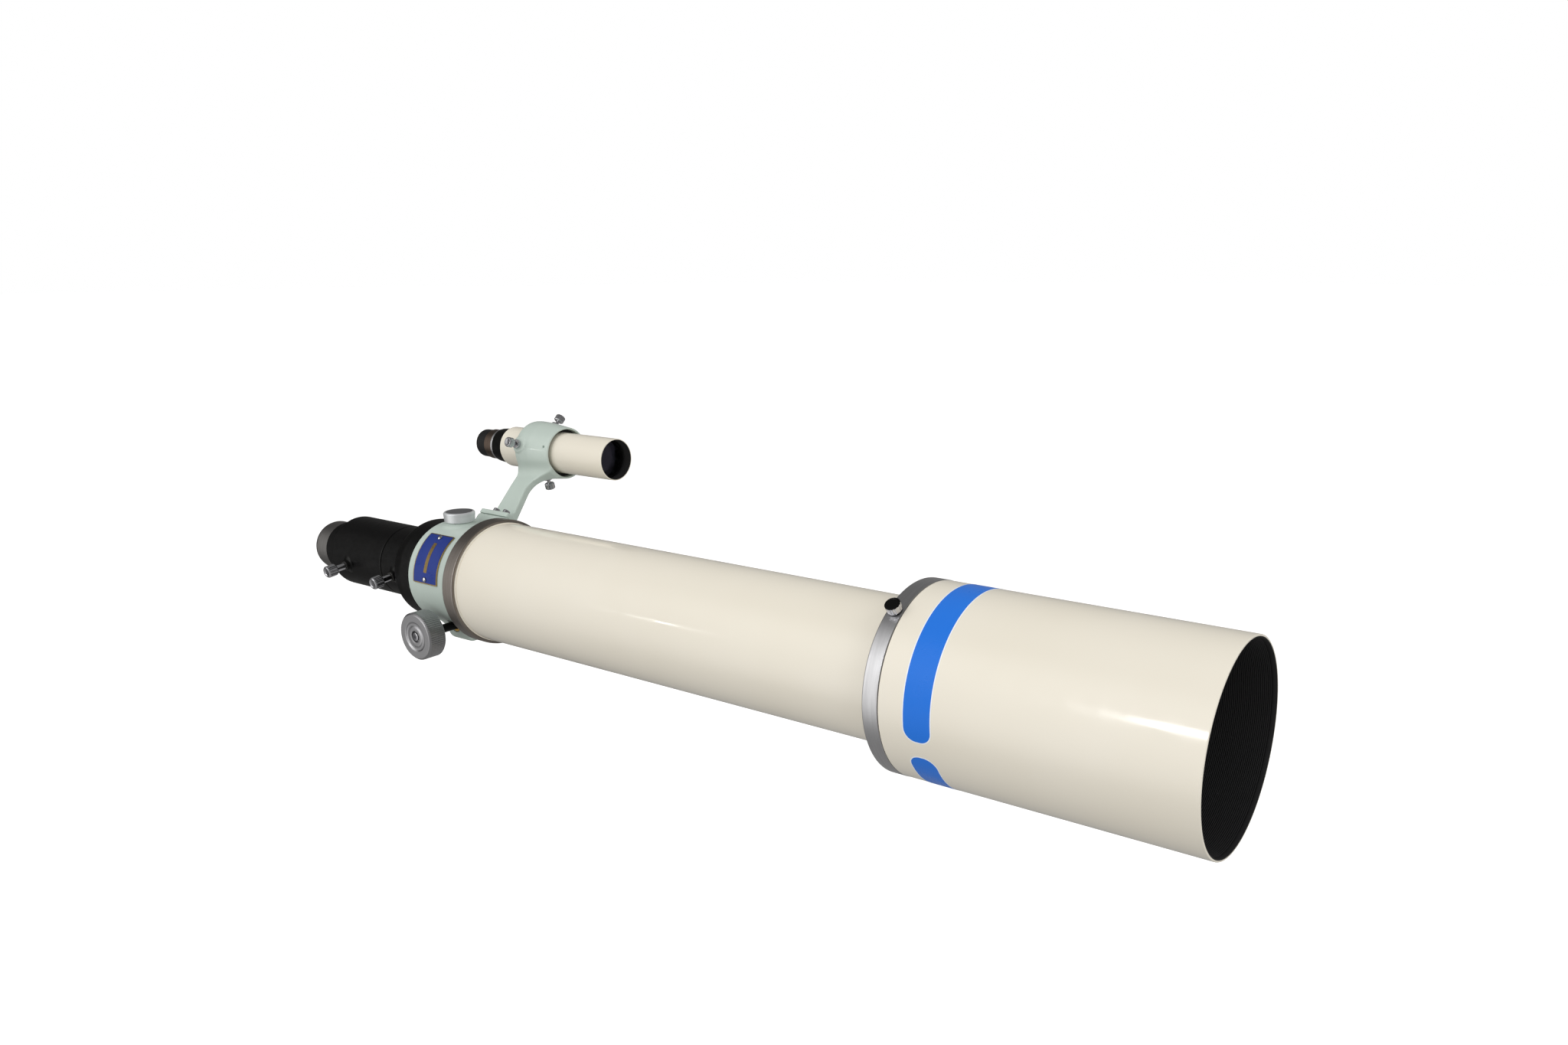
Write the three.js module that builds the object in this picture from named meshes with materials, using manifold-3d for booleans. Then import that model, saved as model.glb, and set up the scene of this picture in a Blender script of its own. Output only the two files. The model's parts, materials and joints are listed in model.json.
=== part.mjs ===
// A refracting telescope tube: sliding dew shield, rack-and-pinion focuser and a finder on an arm.
// Millimetres. +X runs along the optical axis towards the sky, +Z is up, +Y is the finder's side.
// The origin is on the optical axis, in the middle of the length where a mount's clamp grips.
import * as THREE from "three";
import { mergeVertices } from "three/addons/utils/BufferGeometryUtils.js";
import Module from "manifold-3d";

const wasm = await Module();
wasm.setup();

// ---------------------------------------------------------------- driving dimensions
const GAP = 0.3; // clearance kept between neighbouring pieces
const ROUND = 32; // facets of the big coaxial tubes
const MID = 24; // facets of the middle-sized rounds
const SMALL = 12; // facets of screws

const TUBE = { r: 47.5, wall: 1.5, rear: -208.1, front: 212 };
const REAR_RING = { r: 50.3, rear: -211, front: -199 };
const SHIELD = { r: 62, wall: 2.1, rear: 206.3, front: 400 };
const SHIELD_RING = { r: 62.2, rear: 195, front: 206 };
const CELL = { r: 56.2, rear: 208.2, front: 258, bore: 50.4, aperture: 47 };
const LENS_R = 50;

const HOUSING = { r: 42, rear: -266, front: -211.3, bore: 32.5 };
const SPIGOT = { r: 45.6, front: -188, bore: 42.6 };
const DRAW = { r: 30, wall: 2.4, rear: -284.4, front: -140 };
const FLANGE = { r: 41.7, front: -266.5, rear: -292, step: -289, neck: 33 };
const EXTENSION = { r: 30, front: -292.4, rear: -320.6, bore: 27.5 };
const HOLDER = { r: 30, front: -321, rear: -392, bore: 25.6 };
const ADAPTER = { r: 27, front: -392.4, step: -395.4, neck: 22.5, rear: -411.6, bore: 16 };
const COLLAR = { r: 21.5, front: -412, rear: -431 };

const PINION = { module: 0.8, teeth: 12, x: -242, z: -38.6, shaft: 3.5, face: 57.5 };
const RACK = { from: -250, to: -161, top: -28.7, width: 7 };
const KNOB = { r: 19.3, width: 15, grooves: 28 };
const LOCK = { x: -249, r: 12.4, bottom: 43.7, top: 52 };
const PLATE = { from: -257.5, to: -228, low: 2, high: 60 };

const FINDER = { off: 127, r: 17.2, rear: -283.2, front: -158.5 };
const BRACKET = { front: -217.5, rear: -256, screws: -251 };
const PAD_TOP = 50.2;

// ---------------------------------------------------------------- materials
const paint = (color, roughness, metalness = 0) =>
  new THREE.MeshStandardMaterial({ color, roughness, metalness });
const CREAM = paint(0xe6dfcc, 0.4);
const GREEN = paint(0xb9c4b8, 0.5);
const BLACK = paint(0x161616, 0.45);
const SILVER = paint(0x9c9b98, 0.35, 0.9);
const STEEL = paint(0xb8b8bc, 0.2, 1);
const BRASS = paint(0xb08d4a, 0.35, 0.9);
const FELT = paint(0x202022, 0.95);
const POLYMER = paint(0xd8d6cf, 0.6);
const BLUE = paint(0x1e3a8c, 0.4);
const RUBBER = paint(0x101010, 0.85);
const GLASS = new THREE.MeshStandardMaterial({
  color: 0xcfe3ea, roughness: 0.05, transparent: true, opacity: 0.4,
});

// ---------------------------------------------------------------- solids
const object = new THREE.Group();

function bare(geometry) {
  const g = geometry.index ? geometry.toNonIndexed() : geometry.clone();
  for (const name of Object.keys(g.attributes)) if (name !== "position") g.deleteAttribute(name);
  return mergeVertices(g, 1e-4);
}

function solid(geometry) {
  const g = bare(geometry);
  return new wasm.Manifold(new wasm.Mesh({
    numProp: 3,
    vertProperties: new Float32Array(g.attributes.position.array),
    triVerts: new Uint32Array(g.index.array),
  }));
}

function geometryOf(manifold) {
  const m = manifold.getMesh();
  const positions = new Float32Array(m.numVert * 3);
  for (let i = 0; i < m.numVert; i++)
    positions.set(m.vertProperties.subarray(i * m.numProp, i * m.numProp + 3), i * 3);
  return new THREE.BufferGeometry()
    .setAttribute("position", new THREE.BufferAttribute(positions, 3))
    .setIndex(new THREE.BufferAttribute(new Uint32Array(m.triVerts), 1))
    .toNonIndexed();
}

const join = (...parts) => parts.reduce((a, b) => a.add(b));
const cut = (from, ...tools) => tools.reduce((a, b) => a.subtract(b), from);

function piece(name, shape, material) {
  const geometry = shape.isBufferGeometry ? shape : geometryOf(shape);
  geometry.computeVertexNormals();
  const mesh = new THREE.Mesh(geometry, material);
  mesh.name = name;
  object.add(mesh);
  return mesh;
}

// Moves a shape made on the local axes so that local Z lies along `axis` and local X as near `side`.
function placed(geometry, origin, axis, side = [1, 0, 0]) {
  const z = new THREE.Vector3(...axis).normalize();
  const x = new THREE.Vector3(...side);
  x.addScaledVector(z, -x.dot(z)).normalize();
  const y = new THREE.Vector3().crossVectors(z, x);
  const m = new THREE.Matrix4().makeBasis(x, y, z).setPosition(...origin);
  return geometry.applyMatrix4(m);
}

// A solid of revolution about local Z from [along, radius] points.
function turned(points, facets) {
  const closed = points.every(([, r]) => r > 0) ? [...points, points[0]] : points;
  let area = 0;
  points.forEach(([a, r], i) => {
    const [b, s] = points[(i + 1) % points.length];
    area += a * s - b * r;
  });
  const ordered = area < 0 ? closed : [...closed].reverse();
  const lathe = new THREE.LatheGeometry(ordered.map(([a, r]) => new THREE.Vector2(r, a)), facets);
  return lathe.rotateX(Math.PI / 2);
}

// The same about the optical axis, or about a parallel axis through [0, y, z].
const coaxial = (points, facets = ROUND, y = 0, z = 0) =>
  placed(turned(points, facets), [0, y, z], [1, 0, 0], [0, 0, -1]);

const tube = (from, to, outer, inner, facets = ROUND) =>
  coaxial([[from, inner], [from, outer], [to, outer], [to, inner]], facets);

// A turned shape that stands on `origin` and points along `axis`.
const stood = (points, origin, axis, facets = SMALL) =>
  placed(turned(points, facets), origin, axis, Math.abs(axis[0]) > 0.9 ? [0, 0, -1] : [1, 0, 0]);

const rod = (radius, from, to, origin, axis, facets = SMALL) =>
  stood([[from, 0], [from, radius], [to, radius], [to, 0]], origin, axis, facets);

// A flat outline pushed along `axis`; its own X runs along `side`.
function pushed(outline, depth, origin, axis, side, bevel = 0) {
  const shape = new THREE.Shape(outline.map(([x, y]) => new THREE.Vector2(x, y)));
  const g = new THREE.ExtrudeGeometry(shape, {
    depth: depth - 2 * bevel, bevelEnabled: bevel > 0, bevelThickness: bevel,
    bevelSize: bevel, bevelOffset: -bevel, bevelSegments: 1, steps: 1,
  });
  return placed(g.translate(0, 0, bevel), origin, axis, side);
}

const box = (from, to) =>
  new THREE.BoxGeometry(to[0] - from[0], to[1] - from[1], to[2] - from[2]).translate(
    (from[0] + to[0]) / 2, (from[1] + to[1]) / 2, (from[2] + to[2]) / 2);

const polar = (r, degrees) => {
  const a = (degrees * Math.PI) / 180;
  return [r * Math.cos(a), r * Math.sin(a)];
};
// A direction across the optical axis, measured from +Y towards +Z.
const across = (degrees) => [0, ...polar(1, degrees)];

// An outline with straight grooves round it, for knurled rims.
function grooved(radius, depth, count) {
  const points = [];
  for (let i = 0; i < count; i++)
    points.push(polar(radius, (360 * i) / count), polar(radius - depth, (360 * (i + 0.5)) / count));
  return points;
}

// ---------------------------------------------------------------- main tube
piece("main_tube", tube(TUBE.rear, TUBE.front, TUBE.r, TUBE.r - TUBE.wall), CREAM);
piece("tube_rear_ring", coaxial([
  [REAR_RING.rear, 46.2], [REAR_RING.rear, REAR_RING.r - 0.5], [REAR_RING.rear + 0.5, REAR_RING.r],
  [REAR_RING.front - 0.8, REAR_RING.r], [REAR_RING.front, REAR_RING.r - 0.8],
  [REAR_RING.front, TUBE.r + GAP], [TUBE.rear - GAP, TUBE.r + GAP], [TUBE.rear - GAP, 46.2],
]), SILVER);
[[150, 42], [50, 36], [-60, 30.5]].forEach(([x, aperture], i) =>
  piece(`tube_baffle_${i + 1}`, coaxial([
    [x - 5, 45], [x - 5, 45.6], [x + 1.5, 45.6], [x + 1.5, aperture], [x, aperture], [x, 45],
  ], MID), BLACK));

// ---------------------------------------------------------------- objective
const lensSeat = 226;
piece("objective_cell", coaxial([
  [CELL.rear - 12, 44.2], [CELL.rear - 12, 45.6], [TUBE.front + GAP, 45.6], [TUBE.front + GAP, 51],
  [TUBE.front + 5, CELL.r], [CELL.front - 1, CELL.r], [CELL.front, CELL.r - 1],
  [CELL.front, CELL.bore], [lensSeat, CELL.bore], [lensSeat, CELL.aperture], [lensSeat - 4, 46],
]), BLACK);
// Outer edge, then the two curved faces, front and back, as [x, radius] of a rounded disc.
function lens(rear, front, bulgeRear, bulgeFront, radius = LENS_R, facets = MID, y = 0, z = 0) {
  const steps = 2, points = [];
  for (let i = 0; i <= steps; i++) {
    const t = i / steps;
    points.push([rear - bulgeRear * (1 - t * t), radius * t]);
  }
  for (let i = steps; i >= 0; i--) {
    const t = i / steps;
    points.push([front + bulgeFront * (1 - t * t), radius * t]);
  }
  return coaxial(points, facets, y, z);
}
piece("lens_rear", lens(226.4, 233, -1.2, 1), GLASS);
piece("lens_spacer", tube(233.4, 235.4, 50, 47.5, MID), BLACK);
piece("lens_front", lens(235.8, 243, 0.4, 2.6), GLASS);
piece("lens_retaining_ring", coaxial([
  [243.4, 47.2], [243.4, 50], [249, 50], [249, 48.6],
], MID), BLACK);

// ---------------------------------------------------------------- dew shield
const shieldIn = SHIELD.r - SHIELD.wall;
piece("dew_shield", coaxial([
  [SHIELD.rear, shieldIn], [SHIELD.rear, SHIELD.r], [SHIELD.front - 0.8, SHIELD.r],
  [SHIELD.front, SHIELD.r - 0.8], [SHIELD.front, shieldIn + 0.3], [SHIELD.front - 0.6, shieldIn],
]), CREAM);
const screwAt = { x: 200.5, angle: 123.5 };
const shieldScrewAxis = across(screwAt.angle);
const linerIn = TUBE.r + 0.4;
piece("dew_shield_ring", cut(
  solid(coaxial([
    [SHIELD_RING.rear, 49.6], [SHIELD_RING.rear, SHIELD_RING.r - 0.6],
    [SHIELD_RING.rear + 0.6, SHIELD_RING.r], [SHIELD_RING.front - 0.3, SHIELD_RING.r],
    [SHIELD_RING.front, SHIELD_RING.r - 0.3], [SHIELD_RING.front, shieldIn - GAP],
    [SHIELD.rear + 8, shieldIn - GAP], [SHIELD.rear + 8, 57.4], [SHIELD_RING.front, 57.4],
    [SHIELD_RING.front, 49.6],
  ])),
  solid(rod(2.3, 48, 64, [screwAt.x, 0, 0], shieldScrewAxis)),
), SILVER);
piece("dew_shield_liner", cut(
  solid(tube(SHIELD_RING.rear + 0.5, SHIELD_RING.front - 0.5, 49.3, linerIn)),
  solid(rod(2.3, 46, 52, [screwAt.x, 0, 0], shieldScrewAxis)),
), FELT);
piece("dew_shield_lock_screw", join(
  solid(stood([[47.9, 0], [47.9, 1.6], [48.4, 2], [62.9, 2], [62.9, 0]],
    [screwAt.x, 0, 0], shieldScrewAxis)),
  solid(pushed(grooved(5, 0.5, 14), 5.8, [screwAt.x, ...polar(62.7, screwAt.angle)],
    shieldScrewAxis, [1, 0, 0], 0.5)),
), BLACK);

// ---------------------------------------------------------------- focuser housing
const finderOut = across(45); // from the optical axis to the finder's
const finderSide = across(135); // across the arm, towards the focus lock knob
const atFinder = (x, side, out) => [
  x, side * finderSide[1] + out * finderOut[1], side * finderSide[2] + out * finderOut[2],
];
const rotatedBox = (x0, x1, side, from, to, bevel = 0) =>
  pushed([[x0, -side], [x1, -side], [x1, side], [x0, side]], to - from,
    atFinder(0, 0, from), finderOut, [1, 0, 0], bevel);

const guides = [[-264.4, -254], [-231, -220.6]];
const pinionAt = [PINION.x, 0, PINION.z];
const lugSide = 19.5;
const lug = pushed([
  [-257, -30], [-256, -41], [-252.6, -46.2], [-247.2, -49.6], [-241, -50.2], [-226, -49.2],
  [-219.6, -46.6], [-216.6, -42], [-216.6, -30],
], 2 * lugSide, [0, lugSide, 0], [0, -1, 0], [1, 0, 0]);

const housingOutside = join(
  solid(coaxial([
    [HOUSING.rear, 0], [HOUSING.rear, HOUSING.r - 0.6], [HOUSING.rear + 0.6, HOUSING.r],
    [-217, HOUSING.r], [-213.5, 43.2], [HOUSING.front, 45.6], [SPIGOT.front, SPIGOT.r],
    [SPIGOT.front, 0],
  ])),
  solid(stood([[30, 0], [30, 12.5], [41.2, 12.5], [42.2, 10.8], [43.3, 10.2], [43.3, 0]],
    [LOCK.x, 0, 0], [0, 0, 1], 28)),
  solid(rotatedBox(-256, -222, 16, 30, PAD_TOP, 1.6)),
  solid(lug),
);
const footBolts = [[-243.5, 10.2], [-231.5, 10.2], [-243.5, -10.2], [-231.5, -10.2]];
const plateMid = (PLATE.from + PLATE.to) / 2;
const plateScrews = [PLATE.low + 4.5, PLATE.high - 4.5].map((a) => across(180 - a));
piece("focuser_housing", cut(
  housingOutside,
  solid(coaxial([
    [HOUSING.rear - 1, 0], [HOUSING.rear - 1, HOUSING.bore], [-209, HOUSING.bore],
    [-209, SPIGOT.bore], [SPIGOT.front + 1, SPIGOT.bore], [SPIGOT.front + 1, 0],
  ])),
  solid(box([HOUSING.rear - 1, -4.6, -35.4], [-208, 4.6, -28])),
  solid(box([PINION.x - 7, -6.4, -46.6], [PINION.x + 7, 6.4, -28])),
  solid(rod(5.8, -30, 30, pinionAt, [0, 1, 0], 24)),
  solid(rod(3.4, 28, 50, [LOCK.x, 0, 0], [0, 0, 1])),
  ...footBolts.map(([x, side]) => solid(rod(1.9, 40, 60, atFinder(x, side, 0), finderOut, 12))),
  ...plateScrews.map((axis) => solid(rod(1.2, 38.5, 46, [plateMid, 0, 0], axis, 10))),
), GREEN);
guides.forEach(([from, to], i) => piece(`drawtube_guide_${i ? "front" : "rear"}`, cut(
  solid(tube(from, to, HOUSING.bore - GAP, DRAW.r + 0.35, MID)),
  solid(box([from - 1, -5.4, -36], [to + 1, 5.4, -20])),
), POLYMER));
piece("focus_lock_knob", join(
  solid(stood([
    [LOCK.bottom, 0], [LOCK.bottom, LOCK.r - 1.4], [LOCK.bottom + 0.6, LOCK.r - 0.5],
    [LOCK.top - 2, LOCK.r], [LOCK.top - 0.5, LOCK.r - 0.5], [LOCK.top, LOCK.r - 1.6],
    [LOCK.top - 0.5, LOCK.r - 3], [LOCK.top - 0.9, 0],
  ], [LOCK.x, 0, 0], [0, 0, 1], 28)),
  solid(rod(3, 33.1, LOCK.bottom + 1, [LOCK.x, 0, 0], [0, 0, 1])),
), SILVER);
piece("focus_lock_shoe", rod(2.9, 30.4, 32.8, [LOCK.x, 0, 0], [0, 0, 1]), BRASS);

// ---------------------------------------------------------------- nameplate
const plateSector = () => {
  const steps = 10, r0 = HOUSING.r + GAP, r1 = HOUSING.r + 1.1, outline = [];
  for (let i = 0; i <= steps; i++)
    outline.push(polar(r1, PLATE.low + ((PLATE.high - PLATE.low) * i) / steps));
  for (let i = steps; i >= 0; i--)
    outline.push(polar(r0, PLATE.low + ((PLATE.high - PLATE.low) * i) / steps));
  // Angles are measured from -Y upwards, so the outline's X runs along -Y.
  return pushed(outline, PLATE.to - PLATE.from, [PLATE.to, 0, 0], [-1, 0, 0], [0, -1, 0]);
};
piece("nameplate", cut(
  solid(plateSector()),
  ...plateScrews.map((axis) => solid(rod(1.2, 40, 46, [plateMid, 0, 0], axis, 10))),
), BLUE);
plateScrews.forEach((axis, i) => piece(`nameplate_screw_${i ? "top" : "bottom"}`, stood([
  [39, 0], [39, 0.9], [43.4, 0.9], [43.4, 2.1], [44, 1.8], [44.5, 0.9], [44.6, 0],
], [plateMid, 0, 0], axis, 14), STEEL));

// ---------------------------------------------------------------- drawtube and rack
const { module: M, teeth: TEETH } = PINION;
const PITCH = Math.PI * M;
const PITCH_R = (M * TEETH) / 2;
const BACKLASH = 0.25;
const SLANT = Math.tan((20 * Math.PI) / 180);
const RACK_TIP = 0.65 * M; // a short tooth, so the small pinion is not undercut
const pitchLine = PINION.z + PITCH_R;
const rackRoot = pitchLine + 1.25 * M;

piece("drawtube", cut(
  solid(coaxial([
    [DRAW.rear, DRAW.r - DRAW.wall], [DRAW.rear, DRAW.r], [DRAW.front - 0.6, DRAW.r],
    [DRAW.front, DRAW.r - 0.6], [DRAW.front, DRAW.r - DRAW.wall],
  ])),
  solid(box([RACK.from - 0.4, -RACK.width / 2 - 0.35, -36],
    [DRAW.front + 1, RACK.width / 2 + 0.35, RACK.top + GAP])),
), BLACK);
function rackOutline() {
  const half = (PITCH - BACKLASH) / 4;
  const points = [[RACK.to, RACK.top], [RACK.from, RACK.top], [RACK.from, rackRoot]];
  for (let k = -40; k <= 40; k++) {
    const x = PINION.x + (k + 0.5) * PITCH;
    if (x < RACK.from + 1.3 || x > RACK.to - 1.3) continue;
    const wide = half + 1.25 * M * SLANT, narrow = half - RACK_TIP * SLANT;
    points.push([x - wide, rackRoot], [x - narrow, pitchLine - RACK_TIP]);
    points.push([x + narrow, pitchLine - RACK_TIP], [x + wide, rackRoot]);
  }
  return [...points, [RACK.to, rackRoot]];
}
piece("focus_rack", pushed(rackOutline(), RACK.width, [0, RACK.width / 2, 0], [0, -1, 0],
  [1, 0, 0]), BRASS);
piece("drawtube_flange", coaxial([
  [FLANGE.front, DRAW.r + GAP], [FLANGE.front, FLANGE.r - 0.5], [FLANGE.front - 0.5, FLANGE.r],
  [-276, FLANGE.r], [-283, 41], [-286.4, 39.9], [-288.4, 38.7], [FLANGE.step, 37.6],
  [FLANGE.step, FLANGE.neck], [FLANGE.rear + 0.4, FLANGE.neck], [FLANGE.rear, FLANGE.neck - 0.4],
  [FLANGE.rear, EXTENSION.bore], [DRAW.rear - GAP, EXTENSION.bore],
  [DRAW.rear - GAP, DRAW.r + GAP],
]), BLACK);

// ---------------------------------------------------------------- pinion and focus knobs
function pinionOutline() {
  const base = PITCH_R * Math.cos((20 * Math.PI) / 180);
  const root = PITCH_R - RACK_TIP - 0.25, tip = PITCH_R + M;
  const involute = (r) => {
    const a = Math.acos(Math.min(1, base / r));
    return Math.tan(a) - a;
  };
  const half = (r) =>
    (PITCH - BACKLASH) / 4 / PITCH_R + involute(PITCH_R) - involute(Math.max(r, base));
  const radii = [root, base, PITCH_R, (PITCH_R + tip) / 2, tip];
  const points = [];
  for (let k = 0; k < TEETH; k++) {
    const centre = Math.PI / 2 + (2 * Math.PI * k) / TEETH;
    const at = (r, a) => [r * Math.cos(a), r * Math.sin(a)];
    radii.forEach((r) => points.push(at(r, centre - half(r))));
    [...radii].reverse().forEach((r) => points.push(at(r, centre + half(r))));
  }
  return points;
}
const SCREW_HOLE = 1.7;
piece("pinion_shaft", cut(
  join(
    solid(rod(PINION.shaft, -53.6, 53.6, pinionAt, [0, 1, 0], 28)),
    solid(pushed(pinionOutline(), 10, [PINION.x, 5, PINION.z], [0, -1, 0], [1, 0, 0])),
  ),
  ...[-1, 1].map((s) => solid(rod(SCREW_HOLE, 44, 60, pinionAt, [0, s, 0], 12))),
), BLACK);
const sides = { near: -1, far: 1 };
for (const [side, s] of Object.entries(sides)) {
  const out = [0, s, 0], face = PINION.face, inner = face - KNOB.width;
  piece(`pinion_bush_${side}`, stood([
    [7, PINION.shaft + 0.35], [7, 5.5], [lugSide - 0.4, 5.5], [lugSide - 0.4, PINION.shaft + 0.35],
  ], pinionAt, out, 20), BRASS);
  piece(`focus_knob_${side}`, cut(
    solid(pushed(grooved(KNOB.r, 0.5, KNOB.grooves), KNOB.width, [PINION.x, s * inner, PINION.z],
      out, [1, 0, 0], 0.9)),
    solid(stood([[face - 1.1, 9], [face + 1, 8.4], [face + 1, 11.6], [face - 1.1, 11]],
      pinionAt, out, 24)),
    solid(stood([[face - 2.6, 0], [face - 2.6, 4.2], [face + 1, 4.6], [face + 1, 0]],
      pinionAt, out, 24)),
    solid(rod(PINION.shaft + GAP, inner - 1, 54, pinionAt, out, 28)),
    solid(stood([[inner - 1, 7], [inner - 1, 16.4], [inner + 4, 16.4], [inner + 4, 7]],
      pinionAt, out, 24)),
    solid(rod(SCREW_HOLE, 50, face, pinionAt, out, 12)),
  ), SILVER);
  piece(`focus_knob_screw_${side}`, cut(
    solid(stood([
      [45, 0], [45, 1.35], [face - 2.3, 1.35], [face - 2.3, 3.4], [face - 0.4, 3.4],
      [face, 2.9], [face, 0],
    ], pinionAt, out, 18)),
    solid(rod(1.7, face - 1.6, face + 1, pinionAt, out, 6)),
  ), STEEL);
}

// ---------------------------------------------------------------- eyepiece end
const clampScrews = { front: { x: -303, tip: 27.8 }, rear: { x: -368, tip: 27.1 } };
const clampAxis = across(187);
const boss = (x) => solid(stood([[28, 0], [28, 4.6], [32.6, 4.4], [33.6, 3.6], [33.6, 0]],
  [x, 0, 0], clampAxis, 16));
const clampHole = (x) => solid(rod(2.2, 24, 36, [x, 0, 0], clampAxis, 16));
piece("extension_tube", cut(
  join(solid(coaxial([
    [EXTENSION.rear, 0], [EXTENSION.rear, EXTENSION.r - 0.5], [EXTENSION.rear + 0.5, EXTENSION.r],
    [EXTENSION.front, EXTENSION.r], [EXTENSION.front, 0],
  ], MID)), boss(clampScrews.front.x)),
  solid(coaxial([
    [EXTENSION.rear - 1, 0], [EXTENSION.rear - 1, EXTENSION.bore],
    [EXTENSION.front + 1, EXTENSION.bore], [EXTENSION.front + 1, 0],
  ], MID)),
  clampHole(clampScrews.front.x),
), BLACK);
const grooveOut = 26.9;
piece("eyepiece_holder", cut(
  join(solid(coaxial([
    [HOLDER.rear, 0], [HOLDER.rear, HOLDER.r - 1], [HOLDER.rear + 1, HOLDER.r],
    [HOLDER.front - 0.5, HOLDER.r], [HOLDER.front, HOLDER.r - 0.5],
    [HOLDER.front, 27], [-298, 27], [-298, 0],
  ], MID)), boss(clampScrews.rear.x)),
  solid(coaxial([
    [HOLDER.rear - 1, 0], [HOLDER.rear - 1, HOLDER.bore], [-372, HOLDER.bore], [-372, grooveOut],
    [-364, grooveOut], [-364, HOLDER.bore], [-297, HOLDER.bore], [-297, 0],
  ], MID)),
  clampHole(clampScrews.rear.x),
), BLACK);
piece("compression_ring", cut(
  solid(tube(-371.6, -364.4, 26.6, 25.9, MID)),
  solid(box([-373, -1.5, 20], [-363, 1.5, 30])),
), BRASS);
for (const [end, { x, tip }] of Object.entries(clampScrews))
  piece(`clamp_screw_${end}`, join(
    solid(stood([[tip, 0], [tip, 1.9], [34, 1.9], [34, 2.8], [43, 2.8], [43, 0]],
      [x, 0, 0], clampAxis, 14)),
    solid(pushed(grooved(5.1, 0.45, 14), 8.6, [x, ...polar(42, 187)], clampAxis, [1, 0, 0], 0.8)),
  ), STEEL);
piece("eyepiece_adapter", coaxial([
  [ADAPTER.rear, 20.5], [ADAPTER.rear, ADAPTER.neck - 0.4], [ADAPTER.rear + 0.4, ADAPTER.neck],
  [ADAPTER.step, ADAPTER.neck], [ADAPTER.step, ADAPTER.r - 0.6], [ADAPTER.step + 0.6, ADAPTER.r],
  [ADAPTER.front - 0.5, ADAPTER.r], [ADAPTER.front, ADAPTER.r - 0.5], [ADAPTER.front, 25.2],
  [-349.8, 25.2], [-349, 24.4], [-349, 23], [-378, 23], [-378, ADAPTER.bore],
  [-405.2, ADAPTER.bore], [-405.2, 20.5],
], MID), BLACK);
piece("adapter_collar", coaxial([
  [COLLAR.rear, ADAPTER.bore + 0.4], [COLLAR.rear, COLLAR.r - 2.6], [COLLAR.rear + 0.8, COLLAR.r - 1.1],
  [COLLAR.rear + 2.2, COLLAR.r - 0.3], [COLLAR.rear + 3.6, COLLAR.r], [COLLAR.front - 0.5, COLLAR.r],
  [COLLAR.front, COLLAR.r - 0.5], [COLLAR.front, 20.1], [-405.6, 20.1], [-405.6, ADAPTER.bore],
  [COLLAR.rear + 0.4, ADAPTER.bore],
], MID), SILVER);

// ---------------------------------------------------------------- finder bracket
const finderYZ = [FINDER.off * finderOut[1], FINDER.off * finderOut[2]];
const onFinder = (x) => [x, ...finderYZ];
const aroundFinder = (points, facets = MID) => coaxial(points, facets, ...finderYZ);
const adjusters = { out: 45, near: 161.5, low: 282 };
piece("finder_bracket", cut(
  join(
    solid(aroundFinder([
      [BRACKET.rear, 0], [BRACKET.rear, 23.7], [BRACKET.rear + 0.8, 24.5], [-244, 24.2],
      [BRACKET.front - 0.8, 21.8], [BRACKET.front, 21.2], [BRACKET.front, 0],
    ])),
    solid(pushed([
      [-255, 53], [-229.4, 53], [-236.5, 86], [-234, 93], [-228, 99], [-219, 105.6], [-219, 112],
      [-255.6, 112], [-256.2, 86],
    ], 6.4, atFinder(0, -3.2, 0), finderSide, [1, 0, 0], 1.1)),
    solid(rotatedBox(-257, -223, 14.6, PAD_TOP + GAP, PAD_TOP + 4.3, 0.9)),
  ),
  solid(aroundFinder([
    [BRACKET.rear - 1, 0], [BRACKET.rear - 1, 21.6], [-232, 21.6], [-228, 20.1],
    [BRACKET.front + 1, 20.1], [BRACKET.front + 1, 0],
  ])),
  ...Object.values(adjusters).map((a) =>
    solid(rod(1.8, 19, 30, onFinder(BRACKET.screws), across(a), 12))),
  ...footBolts.map(([x, side]) => solid(rod(1.9, 40, 60, atFinder(x, side, 0), finderOut, 12))),
), GREEN);
footBolts.forEach(([x, side], i) =>
  piece(`bracket_bolt_${["near_rear", "near_front", "far_rear", "far_front"][i]}`, cut(
    solid(stood([
      [44, 0], [44, 1.6], [PAD_TOP + 4.6, 1.6], [PAD_TOP + 4.6, 2.9], [PAD_TOP + 7.2, 2.9],
      [PAD_TOP + 7.8, 2.2], [PAD_TOP + 7.8, 0],
    ], atFinder(x, side, 0), finderOut, 14)),
    solid(rod(1.4, PAD_TOP + 6, PAD_TOP + 9, atFinder(x, side, 0), finderOut, 6)),
  ), STEEL));
for (const [where, angle] of Object.entries(adjusters)) {
  const axis = across(angle), from = onFinder(BRACKET.screws);
  const along = (r) => from.map((v, i) => v + r * axis[i]);
  piece(`finder_adjuster_${where}`, join(
    solid(stood([[18.3, 0], [18.3, 0.9], [18.9, 1.4], [31.5, 1.4], [31.5, 0]], from, axis, 12)),
    solid(pushed(grooved(4.2, 0.4, 14), 5.4, along(30.8), axis, [1, 0, 0], 0.6)),
  ), STEEL);
  piece(`finder_lock_nut_${where}`, cut(
    solid(pushed(grooved(3.9, 0.35, 14), 2.7, along(24.9), axis, [1, 0, 0], 0.4)),
    solid(rod(1.75, 24, 29, from, axis, 12)),
  ), STEEL);
}
const seat = [];
for (let i = 0; i < 8; i++) {
  const [x, r] = polar(1.05, 45 * i);
  seat.push([-222.5 + x, 18.7 + r]);
}
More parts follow.
